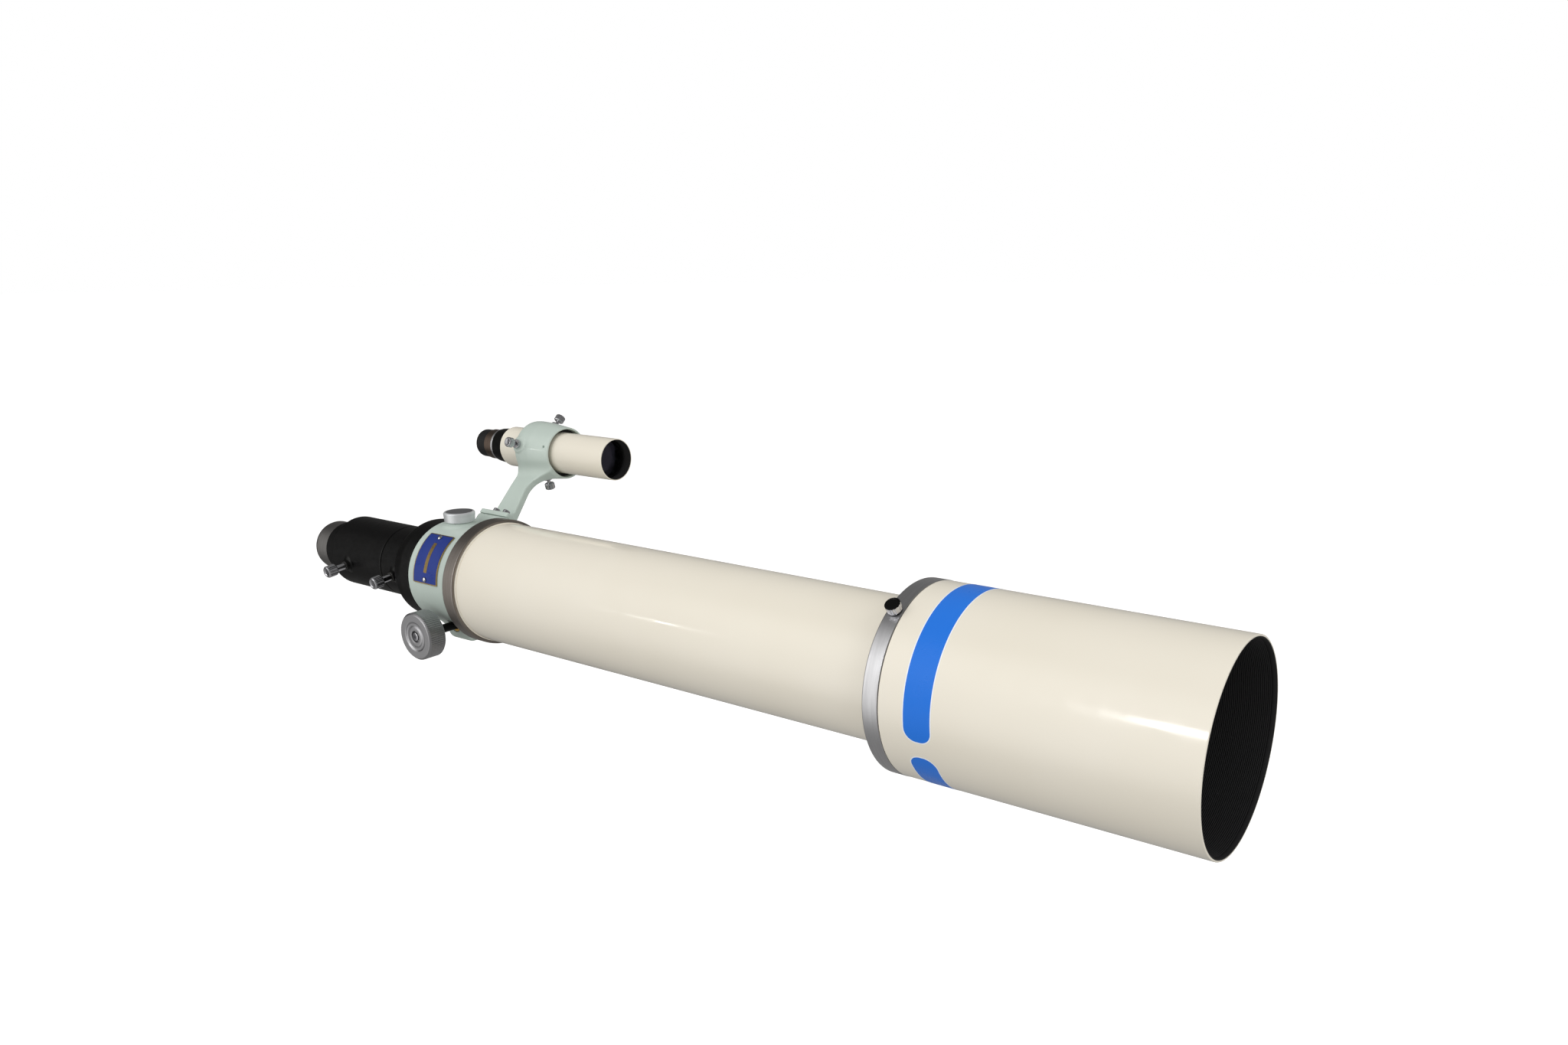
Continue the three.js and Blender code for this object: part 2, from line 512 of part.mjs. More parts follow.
piece("finder_pivot_ring", aroundFinder(seat, 28), RUBBER);

// ---------------------------------------------------------------- finder
piece("finder_tube", aroundFinder([
  [FINDER.rear, 15.9], [FINDER.rear, FINDER.r], [FINDER.front - 0.5, FINDER.r],
  [FINDER.front, FINDER.r - 0.5], [FINDER.front, 15.9],
]), CREAM);
piece("finder_objective", lens(-173, -169.4, 0.8, 1.4, 15.5, 28, ...finderYZ), GLASS);
piece("finder_lens_ring", aroundFinder([
  [-169, 14], [-169, 15.5], [-166.4, 15.5], [-166.4, 14.6],
], 28), BLACK);
piece("finder_eyepiece_tube", aroundFinder([
  [-298, 10.5], [-298, 14.2], [-297.7, 14.5], [-291, 15.1], [FINDER.rear - GAP, 15.8],
  [FINDER.rear - GAP, 15.5], [-271, 15.5], [-271, 13.4], [-283.6, 13.4], [-283.6, 10.5],
], 32), BLACK);
piece("finder_reticle", coaxial([[-282.8, 0], [-282.8, 13], [-281.6, 13], [-281.6, 0]], 24,
  ...finderYZ), GLASS);
piece("finder_focus_ring", aroundFinder([
  [-301.2, 10.5], [-301.2, 13.3], [-300.8, 13.7], [-298.8, 13.7], [-298.4, 13.3], [-298.4, 10.5],
], 32), SILVER);
piece("finder_eye_barrel", aroundFinder([
  [-315, 9.9], [-315, 10.9], [-310.4, 10.9], [-310.4, 12.6], [-310.1, 12.9], [-301.9, 12.9],
  [-301.6, 12.6], [-301.6, 9.9],
], 28), BLACK);
piece("finder_eyecup", aroundFinder([
  [-322.5, 7.6], [-322.5, 11.4], [-321.9, 12], [-311, 12.2], [-310.7, 11.9], [-310.7, 11.2],
  [-315.3, 11.2], [-315.3, 7.6],
], 28), RUBBER);
piece("finder_eye_lens", lens(-313.4, -309.6, 0.5, 1.2, 9.6, 20, ...finderYZ), GLASS);

export default object;
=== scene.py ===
"""Looks of a refracting telescope tube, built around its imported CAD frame.

Every fine piece is made in millimetres in the part's own frame (+X towards the sky, +Y the finder's
side, +Z up) and scaled to metres when its mesh is written.
"""
import json
import math

import bmesh
import bpy
import numpy as np
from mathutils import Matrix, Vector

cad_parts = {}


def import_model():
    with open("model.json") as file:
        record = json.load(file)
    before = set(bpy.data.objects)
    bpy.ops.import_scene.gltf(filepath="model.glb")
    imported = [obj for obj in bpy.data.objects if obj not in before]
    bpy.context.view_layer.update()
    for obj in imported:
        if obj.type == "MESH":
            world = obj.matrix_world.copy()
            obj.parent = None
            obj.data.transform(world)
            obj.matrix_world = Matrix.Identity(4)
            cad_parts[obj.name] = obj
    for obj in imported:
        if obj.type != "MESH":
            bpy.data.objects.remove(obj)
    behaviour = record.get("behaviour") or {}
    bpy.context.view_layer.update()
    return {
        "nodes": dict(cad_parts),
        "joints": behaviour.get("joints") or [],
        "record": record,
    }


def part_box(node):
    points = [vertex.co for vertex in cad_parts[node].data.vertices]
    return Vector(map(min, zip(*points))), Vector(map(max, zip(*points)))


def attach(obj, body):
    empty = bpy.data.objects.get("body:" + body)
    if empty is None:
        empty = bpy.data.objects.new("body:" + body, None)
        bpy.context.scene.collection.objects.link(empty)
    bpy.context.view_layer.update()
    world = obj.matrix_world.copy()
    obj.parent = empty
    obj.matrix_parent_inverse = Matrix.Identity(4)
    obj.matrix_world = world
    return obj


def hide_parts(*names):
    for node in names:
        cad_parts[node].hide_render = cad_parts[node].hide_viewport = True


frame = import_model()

import openvdb
from mathutils import Matrix, Vector

MM = 0.001
GAP = 0.3  # clearance between neighbouring pieces
BIG, MID, SMALL = 192, 128, 72  # facets round the tubes, the finder and the screws
VOXEL = 0.55  # grid of the cast pieces
SIDES = ("near", "far")
BOLTS = [f"bracket_bolt_{side}_{end}" for side in SIDES for end in ("rear", "front")]
ADJUSTERS = ("out", "near", "low")

RECORD = frame["record"]
BODY = {node: body for body, nodes in RECORD["behaviour"]["bodies"].items() for node in nodes}
JOINT = {joint["child"]: joint for joint in frame["joints"]}


# ---------------------------------------------------------------- measures of the frame
def corners(node):
    lo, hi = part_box(node)
    return lo / MM, hi / MM


def ends(node):
    lo, hi = corners(node)
    return lo.x, hi.x


def radius(node):
    lo, hi = corners(node)
    return (hi.z - lo.z) / 2


def middle(node):
    lo, hi = corners(node)
    return (lo + hi) / 2


def hinge(body):
    """A joint's own point and direction, in millimetres."""
    joint = JOINT[body]
    return Vector(joint["pos_m"]) / MM, Vector(joint["axis"]).normalized()


def across(degrees):
    """A direction across the optical axis, from +Y towards +Z."""
    return Vector((0, math.cos(math.radians(degrees)), math.sin(math.radians(degrees))))


AXIS = Vector((1, 0, 0))
UP = Vector((0, 0, 1))
FINDER_AT = Vector((0, middle("finder_tube").y, middle("finder_tube").z))
FINDER_OUT = FINDER_AT.normalized()
FINDER_SIDE = Vector((0, -FINDER_OUT.z, FINDER_OUT.y))


# ---------------------------------------------------------------- finishes
def srgb(red, green, blue):
    def linear(value):
        value /= 255
        return value / 12.92 if value <= 0.04045 else ((value + 0.055) / 1.055) ** 2.4

    return linear(red), linear(green), linear(blue), 1.0


WAVE_LENGTH = 0.314  # a wave texture of scale 1 repeats after this many metres


def setting(node, **values):
    """Sets a node's inputs by name, with _ for each space in the name."""
    for name, value in values.items():
        node.inputs[name.replace("_", " ")].default_value = value
    return node


class Finish:
    """A Principled material whose colour, roughness and bump come from object-space textures."""

    def __init__(self, name, colour, roughness, metallic=0.0, specular=0.5, coat=0.0):
        self.material = bpy.data.materials.new(name)
        self.material.use_nodes = True
        self.tree = self.material.node_tree
        self.shader = setting(
            self.tree.nodes["Principled BSDF"], Base_Color=colour, Roughness=roughness,
            Metallic=metallic, Specular_IOR_Level=specular, Coat_Weight=coat, Coat_Roughness=0.04)
        self.where = self.add("ShaderNodeTexCoord").outputs["Object"]
        self.colour = colour

    def add(self, kind, **values):
        node = self.tree.nodes.new(kind)
        for name, value in values.items():
            setattr(node, name, value)
        return node

    def join(self, output, node, socket):
        self.tree.links.new(output, node.inputs[socket])

    def stretched(self, scale):
        node = setting(self.add("ShaderNodeMapping"), Scale=scale)
        self.join(self.where, node, "Vector")
        return node.outputs["Vector"]

    def noise(self, size, detail=3.0, where=None):
        """Noise whose blobs are about `size` millimetres across."""
        node = setting(self.add("ShaderNodeTexNoise"), Scale=1 / (size * MM), Detail=detail)
        self.join(where or self.where, node, "Vector")
        return node.outputs["Fac"]

    def lines(self, pitch, axis):
        """Fine cutter lines across `axis`, `pitch` millimetres apart."""
        node = self.add("ShaderNodeTexWave", wave_type="BANDS", bands_direction=axis)
        setting(node, Scale=WAVE_LENGTH / (pitch * MM), Distortion=0.4, Detail=2, Detail_Scale=2)
        self.join(self.where, node, "Vector")
        return node.outputs["Fac"]

    def ranged(self, value, low, high, start=0.35, end=0.65):
        node = self.add("ShaderNodeMapRange")
        setting(node, From_Min=start, From_Max=end, To_Min=low, To_Max=high)
        self.join(value, node, "Value")
        return node.outputs["Result"]

    def tint(self, value, colour, start=0.35, end=0.65, share=1.0):
        """Mixes towards another colour where `value` is high."""
        mix = self.add("ShaderNodeMix", data_type="RGBA")
        linked = self.shader.inputs["Base Color"].links
        if linked:
            self.tree.links.new(linked[0].from_socket, mix.inputs["A"])
        setting(mix, A=self.colour, B=colour)
        self.join(self.ranged(value, 0.0, share, start, end), mix, "Factor")
        self.join(mix.outputs["Result"], self.shader, "Base Color")
        return self

    def gloss(self, value, low, high, start=0.35, end=0.65):
        self.join(self.ranged(value, low, high, start, end), self.shader, "Roughness")
        return self

    def bump(self, value, height):
        """Raises the surface by up to `height` millimetres where `value` is high."""
        node = setting(self.add("ShaderNodeBump"), Strength=1, Distance=height * MM)
        self.join(value, node, "Height")
        linked = self.shader.inputs["Normal"].links
        if linked:
            self.tree.links.new(linked[0].from_socket, node.inputs["Normal"])
        self.join(node.outputs["Normal"], self.shader, "Normal")
        return self

    def edge_wear_and_highlight(self, colour, start, end, share):
        """Mixes towards a lighter colour along the convex edges: rubbed bare metal and a painted edge
        highlight.
        """
        edge = self.add("ShaderNodeNewGeometry").outputs["Pointiness"]
        return self.tint(edge, colour, start, end, share)


def enamel(name, colour, shade, roughness, peel=0.006, specular=0.5):
    """Glossy stove enamel: faint orange peel, a slow drift of colour, specks of dust."""
    finish = Finish(name, colour, roughness, specular=specular)
    finish.tint(finish.noise(90, 2), shade, 0.3, 0.8, 0.5)
    finish.tint(finish.noise(0.7, 1), shade, 0.72, 0.8, 0.35)
    finish.gloss(finish.noise(14, 4), roughness - 0.05, roughness + 0.07)
    return finish.bump(finish.noise(2.2, 2), peel).bump(finish.noise(0.5, 1), peel / 6).material


def cast_paint(name, colour, shade, roughness):
    """Sprayed paint on a casting: a finer, deeper texture than on a drawn tube."""
    finish = Finish(name, colour, roughness, coat=0.15)
    finish.tint(finish.noise(25, 3), shade, 0.3, 0.8, 0.55)
    finish.gloss(finish.noise(5, 4), roughness - 0.06, roughness + 0.1)
    # Paler green along the convex edges: a painted edge highlight.
    finish.edge_wear_and_highlight(srgb(214, 222, 214), 0.52, 0.6, 0.35)
    return finish.bump(finish.noise(1.1, 3), 0.03).bump(finish.noise(7, 2), 0.05).material


def turned_metal(name, colour, shade, roughness, pitch=0.22, axis="X", metallic=1.0):
    """Satin anodised metal with the fine lines of the cutter across `axis`."""
    finish = Finish(name, colour, roughness, metallic=metallic)
    streak = finish.noise(1.5, 3, finish.stretched([1 if axis == a else 0.06 for a in "XYZ"]))
    finish.tint(streak, shade, 0.35, 0.7, 0.6)
    finish.gloss(streak, roughness - 0.03, roughness + 0.04)
    return finish.bump(finish.lines(pitch, axis), 0.006).bump(streak, 0.003).material


def polished(name, colour, shade, roughness):
    """Bright plating: long faint wipe marks and a little dulling in scattered patches."""
    finish = Finish(name, colour, roughness, metallic=1.0)
    finish.tint(finish.noise(2.5, 4), shade, 0.5, 0.75, 0.5)
    wiped = finish.noise(0.6, 2, finish.stretched((0.15, 1, 1)))
    finish.gloss(wiped, roughness, roughness + 0.14, 0.45, 0.7)
    return finish.bump(wiped, 0.002).material


def black_metal(name, roughness, axis="X"):
    """Black anodised and lacquered metal, lighter grey along its sharp edges: rubbed metal and a painted
    edge highlight.
    """
    finish = Finish(name, srgb(6, 6, 6), roughness, specular=0.2)
    finish.tint(finish.noise(18, 3), srgb(11, 10, 10), 0.35, 0.75, 0.8)
    # Grey along the sharp edges: rubbed anodising and a painted edge highlight.
    finish.edge_wear_and_highlight(srgb(120, 118, 114), 0.55, 0.64, 0.2)
    finish.gloss(finish.noise(4, 4), roughness - 0.04, roughness + 0.06)
    return finish.bump(finish.lines(0.3, axis), 0.004).bump(finish.noise(0.6, 2), 0.003).material


def matt(name, colour, shade, roughness, grain, height, specular=0.3):
    """Dull surfaces: flock, felt, rubber and plain plastic, by the size of their grain."""
    finish = Finish(name, colour, roughness, specular=specular)
    finish.tint(finish.noise(grain, 4), shade, 0.35, 0.7, 0.7)
    finish.gloss(finish.noise(grain * 6, 3), roughness - 0.08, roughness)
    return finish.bump(finish.noise(grain, 3), height).material


def coated_glass(name):
    """Clear glass with the faint purple of its coating and a little dust."""
    finish = Finish(name, (0.93, 0.97, 0.96, 1.0), 0.01)
    setting(finish.shader, Transmission_Weight=1, IOR=1.5, Specular_Tint=srgb(196, 184, 226))
    finish.gloss(finish.noise(9, 5), 0.0, 0.05, 0.5, 0.8)
    return finish.bump(finish.noise(40, 1), 0.0004).material


CREAM = enamel("cream_enamel", srgb(238, 232, 218), srgb(231, 224, 207), 0.13)
BLUE = enamel("blue_film", srgb(36, 120, 226), srgb(30, 110, 214), 0.3, peel=0.003, specular=0.2)
WHITE = enamel("white_film", srgb(247, 249, 250), srgb(240, 243, 246), 0.25, peel=0.003)
PLATE_BLUE = enamel("plate_enamel", srgb(30, 56, 140), srgb(24, 45, 118), 0.3, peel=0.008)
GREEN = cast_paint("pale_green_paint", srgb(192, 205, 197), srgb(183, 196, 188), 0.36)
SILVER = turned_metal("satin_silver", srgb(196, 196, 198), srgb(182, 182, 184), 0.36)
# The same satin aluminium as the other rings, made darker and warmer as a painted reflection of dark, warm
# surroundings.
RING_SILVER_PAINTED_DARK = turned_metal("ring_silver_painted_reflection", srgb(152, 145, 139), srgb(136, 129, 123), 0.36)
KNOB_SILVER = turned_metal("knob_silver", srgb(176, 176, 178), srgb(160, 160, 163), 0.38,
                           pitch=0.35, axis="Y")
LOCK_SILVER = turned_metal("lock_silver", srgb(216, 219, 220), srgb(204, 207, 210), 0.4,
                           pitch=0.35, axis="Z", metallic=0.45)
LOCK_TOP = turned_metal("lock_top", srgb(182, 183, 186), srgb(164, 165, 168), 0.4, pitch=0.35,
                        axis="Y")
COLLAR_GREY = turned_metal("collar_grey", srgb(160, 158, 156), srgb(144, 142, 140), 0.33)
CHROME = polished("chrome", srgb(206, 206, 210), srgb(170, 170, 174), 0.1)
BRASS = turned_metal("brass", srgb(196, 158, 84), srgb(160, 122, 58), 0.3, pitch=0.4)
GOLD = polished("gilt", srgb(188, 160, 104), srgb(150, 120, 72), 0.28)
BLACK = black_metal("black_satin", 0.33)
BRONZE = turned_metal("bronze_barrel", srgb(112, 98, 88), srgb(96, 84, 76), 0.38)
BLACK_GLOSS = black_metal("black_gloss", 0.16, axis="Y")
SHADOW = matt("matt_black", srgb(36, 36, 37), srgb(44, 44, 45), 0.75, 0.5, 0.03)
FELT = matt("felt", srgb(36, 35, 38), srgb(52, 50, 54), 0.98, 0.25, 0.12, specular=0.1)
RUBBER = matt("rubber", srgb(20, 20, 21), srgb(29, 29, 30), 0.62, 0.8, 0.02)
POLYMER = matt("polymer", srgb(224, 222, 214), srgb(208, 205, 195), 0.5, 1.5, 0.01)
GLASS = coated_glass("coated_glass")


# ---------------------------------------------------------------- mesh code
class Shape:
    """Vertices in millimetres, faces, and for each face the number of its finish."""

    def __init__(self, points, faces, paints=None):
        self.points = np.asarray(points, float)
        self.faces = [tuple(int(i) for i in face) for face in faces]
        self.paints = list(paints) if paints is not None else [0] * len(self.faces)

    def moved(self, matrix):
        turn, shift = np.array(matrix.to_3x3()), np.array(matrix.translation)
        return Shape(self.points @ turn.T + shift, self.faces, self.paints)


def stood(origin, axis, side=None):
    """The matrix that lays local Z along `axis` and local X as near `side` as it goes."""
    z = Vector(axis).normalized()
    x = Vector(side or (UP if abs(z.x) > 0.9 else AXIS))
    x = (x - x.dot(z) * z).normalized()
    matrix = Matrix((x, z.cross(x), z)).transposed().to_4x4()
    matrix.translation = Vector(origin)
    return matrix


def filleted(outline, turn=15):
    """Corners (a, b, fillet, paint) as points (a, b, paint), each fillet an arc of `turn` degree steps."""
    full = [(tuple(corner) + (0, 0))[:4] if len(corner) < 4 else corner for corner in outline]
    made = []
    for i, (a, b, fillet, paint) in enumerate(full):
        here = Vector((a, b))
        before = Vector(full[i - 1][:2]) - here
        after = Vector(full[(i + 1) % len(full)][:2]) - here
        if fillet <= 0:
            made.append((a, b, paint))
            continue
        bend = before.angle(after)
        reach = min(fillet / math.tan(bend / 2), 0.49 * before.length, 0.49 * after.length)
        size = reach * math.tan(bend / 2)
        u, v = before.normalized(), after.normalized()
        centre = here + (u + v).normalized() * size / math.sin(bend / 2)
        start, end = here + u * reach - centre, here + v * reach - centre
        first = math.atan2(start.y, start.x)
        swept = (math.atan2(end.y, end.x) - first + math.pi) % (2 * math.pi) - math.pi
        steps = max(2, math.ceil(abs(math.degrees(swept)) / turn))
        for k in range(steps + 1):
            angle = first + swept * k / steps
            made.append((centre.x + size * math.cos(angle), centre.y + size * math.sin(angle), paint))
    return made


def knurl(top, depth, count, low, high, flat):
    """A rule for lathe(): straight grooves round the rim wherever it is wider than their bottoms."""
    def rule(along, radii, angles):
        phase = (angles * count / (2 * math.pi)) % 1
        groove = np.clip((np.abs(2 * phase - 1) - flat) / (1 - flat), 0, 1)
        return np.minimum(radii, top - depth * groove) if low < along < high else radii
    return rule


def hexagon(flat_radius, low, high):
    """A rule for lathe(): a hexagonal socket between two heights."""
    def rule(along, radii, angles):
        wave = np.cos((angles + math.pi / 6) % (math.pi / 3) - math.pi / 6)
        within = low <= along <= high and np.all(radii < flat_radius * 1.3) and np.all(radii > 0.01)
        return flat_radius / wave if within else radii
    return rule


def lathe(outline, facets=BIG, rules=(), turn=15):
    """A closed solid of revolution about local Z from corners (along, radius, fillet, paint)."""
    profile = filleted(outline, turn)
    angles = np.arange(facets) * 2 * math.pi / facets
    points, rings = [], []
    for along, size, _ in profile:
        start = len(points)
        if size < 1e-6:
            points.append((0, 0, along))
            rings.append([start] * facets)
            continue
        radii = np.full(facets, float(size))
        for rule in rules:
            radii = rule(along, radii, angles)
        points.extend(zip(radii * np.cos(angles), radii * np.sin(angles), np.full(facets, along)))
        rings.append(list(range(start, start + facets)))
    faces, paints = [], []
    for k, ring in enumerate(rings):
        after = rings[(k + 1) % len(rings)]
        if ring[0] == ring[1] and after[0] == after[1]:
            continue
        for j in range(facets):
            n = (j + 1) % facets
            face = dict.fromkeys((ring[j], ring[n], after[n], after[j]))
            faces.append(tuple(face))
            paints.append(profile[k][2])
    return Shape(points, faces, paints)


def coaxial(outline, facets=BIG, rules=(), centre=Vector()):
    return lathe(outline, facets, rules).moved(stood(centre, AXIS))


def section(low, high, inner, outer, fillet=0.0):
    """Corners of a plain ring, or of a rod where `inner` is 0, for lathe() and coaxial()."""
    return [(low, inner), (low, outer, fillet), (high, outer, fillet), (high, inner)]


def rectangle(low, high, half, fillet):
    """Corners of a rectangle from `low` to `high` and `half` to either side."""
    return [(low, -half, fillet), (high, -half, fillet), (high, half, fillet), (low, half, fillet)]


def ridges(start, count, pitch, reach, size, depth):
    """Sharp ridges in the second finish down the wall of a bore, from `start` backwards."""
    rows = []
    for k in range(count):
        x = start - k * pitch
        rows += [(x, size, 0, 1), (x - reach, size + depth, 0, 1)]
    return rows


def prism(outline, depth, matrix):
    """An outline pushed along local Z from 0 to `depth`."""
    flat = filleted(outline)
    n = len(flat)
    points = [(a, b, 0) for a, b, _ in flat] + [(a, b, depth) for a, b, _ in flat]
    faces = [tuple(range(n)), tuple(range(n, 2 * n))]
    faces += [(i, (i + 1) % n, (i + 1) % n + n, i + n) for i in range(n)]
    return Shape(points, faces).moved(matrix)


def block(low, high):
    (x0, y0, z0), (x1, y1, z1) = low, high
    return prism([(x0, y0), (x1, y0), (x1, y1), (x0, y1)], z1 - z0, Matrix.Translation((0, 0, z0)))


def wrapped(x_range, angles, size, thick, corner):
    """A thin closed sheet bent round the optical axis, with round corners.

    Its angles run from -Y upwards in degrees, and `size` is the radius of its inner face.
    """
    (x0, x1), (a0, a1) = x_range, [math.radians(a) * size for a in angles]
    quarter = np.linspace(0.05, 1, 12) * math.pi / 2
    rows = [(corner * (1 - math.cos(t)), corner * (1 - math.sin(t))) for t in quarter]
    count = max(4, int((a1 - a0) / 1.5))
    flat = [(a0 + (a1 - a0) * k / count, 0.0) for k in range(1, count)]
    flat = [(a, c) for a, c in flat if a0 + corner < a < a1 - corner]
    table = [(a0 + d, c) for d, c in rows] + flat + [(a1 - d, c) for d, c in reversed(rows)]
    points, faces = [], []
    for arc, inset in table:
        for r in (size, size + thick):
            y, z = -r * math.cos(arc / size), r * math.sin(arc / size)
            points += [(x0 + inset, y, z), (x1 - inset, y, z)]
    for k in range(len(table) - 1):
        i, j = 4 * k, 4 * k + 4
        faces += [(i, i + 1, j + 1, j), (i + 2, j + 2, j + 3, i + 3)]
        faces += [(i, j, j + 2, i + 2), (i + 1, i + 3, j + 3, j + 1)]
    last = 4 * len(table) - 4
    return Shape(points, faces + [(0, 2, 3, 1), (last, last + 1, last + 3, last + 2)])


def placed(name, data):
    made = bpy.data.objects.new(name, data)
    bpy.context.scene.collection.objects.link(made)
    return made


def new_object(name, shape):
    mesh = bpy.data.meshes.new(name)
    mesh.from_pydata((shape.points * MM).tolist(), [], shape.faces)
    mesh.polygons.foreach_set("material_index", shape.paints)
    tidy = bmesh.new()
    tidy.from_mesh(mesh)
    bmesh.ops.recalc_face_normals(tidy, faces=tidy.faces)
    tidy.to_mesh(mesh)
    tidy.free()
    return placed(name, mesh)


def combined(base, *steps):
    """Joins or cuts shapes one after another: steps are ("UNION" or "DIFFERENCE", shape)."""
    body = new_object("work", base)
    tools = []
    for how, shape in steps:
        tools.append(new_object("tool", shape))
        change = body.modifiers.new("step", "BOOLEAN")
        change.operation, change.solver, change.object = how, "MANIFOLD", tools[-1]
    whole = body.evaluated_get(bpy.context.evaluated_depsgraph_get()).to_mesh()
    points = np.array([v.co for v in whole.vertices]) / MM
    made = Shape(points, [tuple(f.vertices) for f in whole.polygons],
                 [f.material_index for f in whole.polygons])
    if not made.faces:
        raise RuntimeError("a boolean step left nothing")
    for used in [body, *tools]:
        bpy.data.meshes.remove(used.data)
    return made


def piece(node, shape, *finishes, name=None, sharp=32, stands=True):
    """Makes the fine mesh that stands for a CAD node, on that node's body and with its slot."""
    made = new_object(name or f"{node}_fine", shape)
    for finish in finishes:
        made.data.materials.append(finish)
    made.data.shade_smooth()
    made.data.set_sharp_from_angle(angle=math.radians(sharp))
    weigh = made.modifiers.new("even_normals", "WEIGHTED_NORMAL")
    weigh.keep_sharp = True
    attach(made, BODY[node])
    if stands:
        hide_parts(node)


# ---------------------------------------------------------------- cast shapes as distance fields
class Field:
    """Signed distances in millimetres on a grid, negative inside."""

    def __init__(self, low, high, step=VOXEL):
        self.low, self.step = np.array(low, float), step
        counts = [int(math.ceil((b - a) / step)) + 1 for a, b in zip(low, high)]
        axes = [np.arange(n, dtype=np.float32) * step + a for n, a in zip(counts, low)]
        self.x, self.y, self.z = np.meshgrid(*axes, indexing="ij")

    def about(self, origin, axis):
        """Each sample's place along an axis and its distance from it."""
        dx, dy, dz = self.x - origin[0], self.y - origin[1], self.z - origin[2]
        along = dx * axis[0] + dy * axis[1] + dz * axis[2]
        return along, np.sqrt(np.maximum(dx * dx + dy * dy + dz * dz - along * along, 0))

    def surface(self, values):
        grid = openvdb.FloatGrid(self.step * 3)
        grid.copyFromArray(np.ascontiguousarray(values, dtype=np.float32))
        points, quads = grid.convertToQuads(isovalue=0.0)
        return Shape(points * self.step + self.low, quads.tolist())


def outline_distance(outline, a, b):
    corner = [(p[0], p[1]) for p in filleted(outline, 22)]
    best = np.full(a.shape, 1e9, np.float32)
    inside = np.zeros(a.shape, bool)
    for (x0, y0), (x1, y1) in zip(corner, corner[1:] + corner[:1]):
        ex, ey = x1 - x0, y1 - y0
        if ex * ex + ey * ey < 1e-12:
            continue
        wx, wy = a - x0, b - y0
        share = np.clip((wx * ex + wy * ey) / (ex * ex + ey * ey), 0, 1)
        np.minimum(best, (wx - share * ex) ** 2 + (wy - share * ey) ** 2, out=best)
        if ey:
            inside ^= ((y0 <= b) != (y1 <= b)) & (wx < wy * ex / ey)
    return np.where(inside, -1, 1) * np.sqrt(best)


def blend(a, b, size):
    """Joins two fields with a fillet of about `size` where they meet."""
    share = np.clip(0.5 + 0.5 * (b - a) / size, 0, 1)
    return b + (a - b) * share - size * share * (1 - share)


def carve(a, b, size):
    """Cuts field b from a, with an edge rounded by `size`."""
    return -blend(-a, b, size)


def cut(a, b):
    """Cuts field b from a, with a sharp edge."""
    return np.maximum(a, -b)


def slab(a, b, size):
    """Where two fields overlap, with an edge rounded by `size`."""
    return -blend(-a, -b, size)


# ---------------------------------------------------------------- main tube and rings
TUBE_REAR, TUBE_FRONT = ends("main_tube")
TUBE_R = radius("main_tube")
TUBE_BORE = TUBE_R - 1.5
RING_REAR, RING_FRONT = ends("tube_rear_ring")
RING_R = radius("tube_rear_ring")
RING_BORE = 46.2
BEAD = 1.5  # width of the raised bead where the tube leaves its rear ring


def main_tube():
    bead_rear, bead_front, groove = RING_FRONT - 0.4, RING_FRONT + BEAD, RING_FRONT + BEAD + 0.6
    bead_r, groove_r = TUBE_R + 0.5, TUBE_R - 0.25
    piece("main_tube", coaxial([
        (TUBE_REAR, TUBE_BORE), (TUBE_REAR, TUBE_R, 0.2), (bead_rear, TUBE_R),
        (bead_rear, bead_r, 0.2), (bead_front, bead_r, 0.4), (bead_front, groove_r),
        (groove, groove_r), (groove, TUBE_R, 0.2), (TUBE_FRONT, TUBE_R, 0.3, 1),
        (TUBE_FRONT, TUBE_BORE, 0, 1),
    ]), CREAM, SHADOW)
    step = TUBE_REAR - GAP
    piece("tube_rear_ring", coaxial([
        (RING_REAR, RING_BORE), (RING_REAR, RING_R, 0.8), (RING_FRONT, RING_R, 1.1),
        (RING_FRONT, TUBE_R + 0.8), (RING_FRONT - 0.7, TUBE_R + GAP), (step, TUBE_R + GAP),
        (step, RING_BORE),
    ]), RING_SILVER_PAINTED_DARK)
    for i in (1, 2, 3):
        baffle(f"tube_baffle_{i}")


def baffle(node):
    rear, front = ends(node)
    outer = radius(node)
    mesh = frame["nodes"][node].data
    hole = min(math.hypot(v.co.y, v.co.z) for v in mesh.vertices) / MM
    wall, plate = 0.6, 1.5
    piece(node, coaxial([
        (rear, outer - wall), (rear, outer, 0.1), (front, outer, 0.3), (front, hole + 0.9, 0.1),
        (front - 0.9, hole), (front - plate, hole + 0.2), (front - plate, outer - wall),
    ]), SHADOW)


# ---------------------------------------------------------------- dew shield
SHIELD_REAR, SHIELD_FRONT = ends("dew_shield")
SHIELD_R = radius("dew_shield")
SHIELD_BORE = SHIELD_R - 2.1
SHIELD_RING_R = radius("dew_shield_ring")
SHIELD_RING_REAR = ends("dew_shield_ring")[0]
SHIELD_RING_FRONT = SHIELD_REAR - GAP
SHIELD_RING_BORE = 49.6
RIDGE, RIDGE_DEPTH = 1.1, 0.4  # pitch and depth of the light-trapping ridges
BAND = (SHIELD_REAR + 17.7, SHIELD_REAR + 35.7)
BAND_ARCS = ((-14, 165), (-186, -25))
BAND_EDGE = 0.75  # width of the white line round the blue film


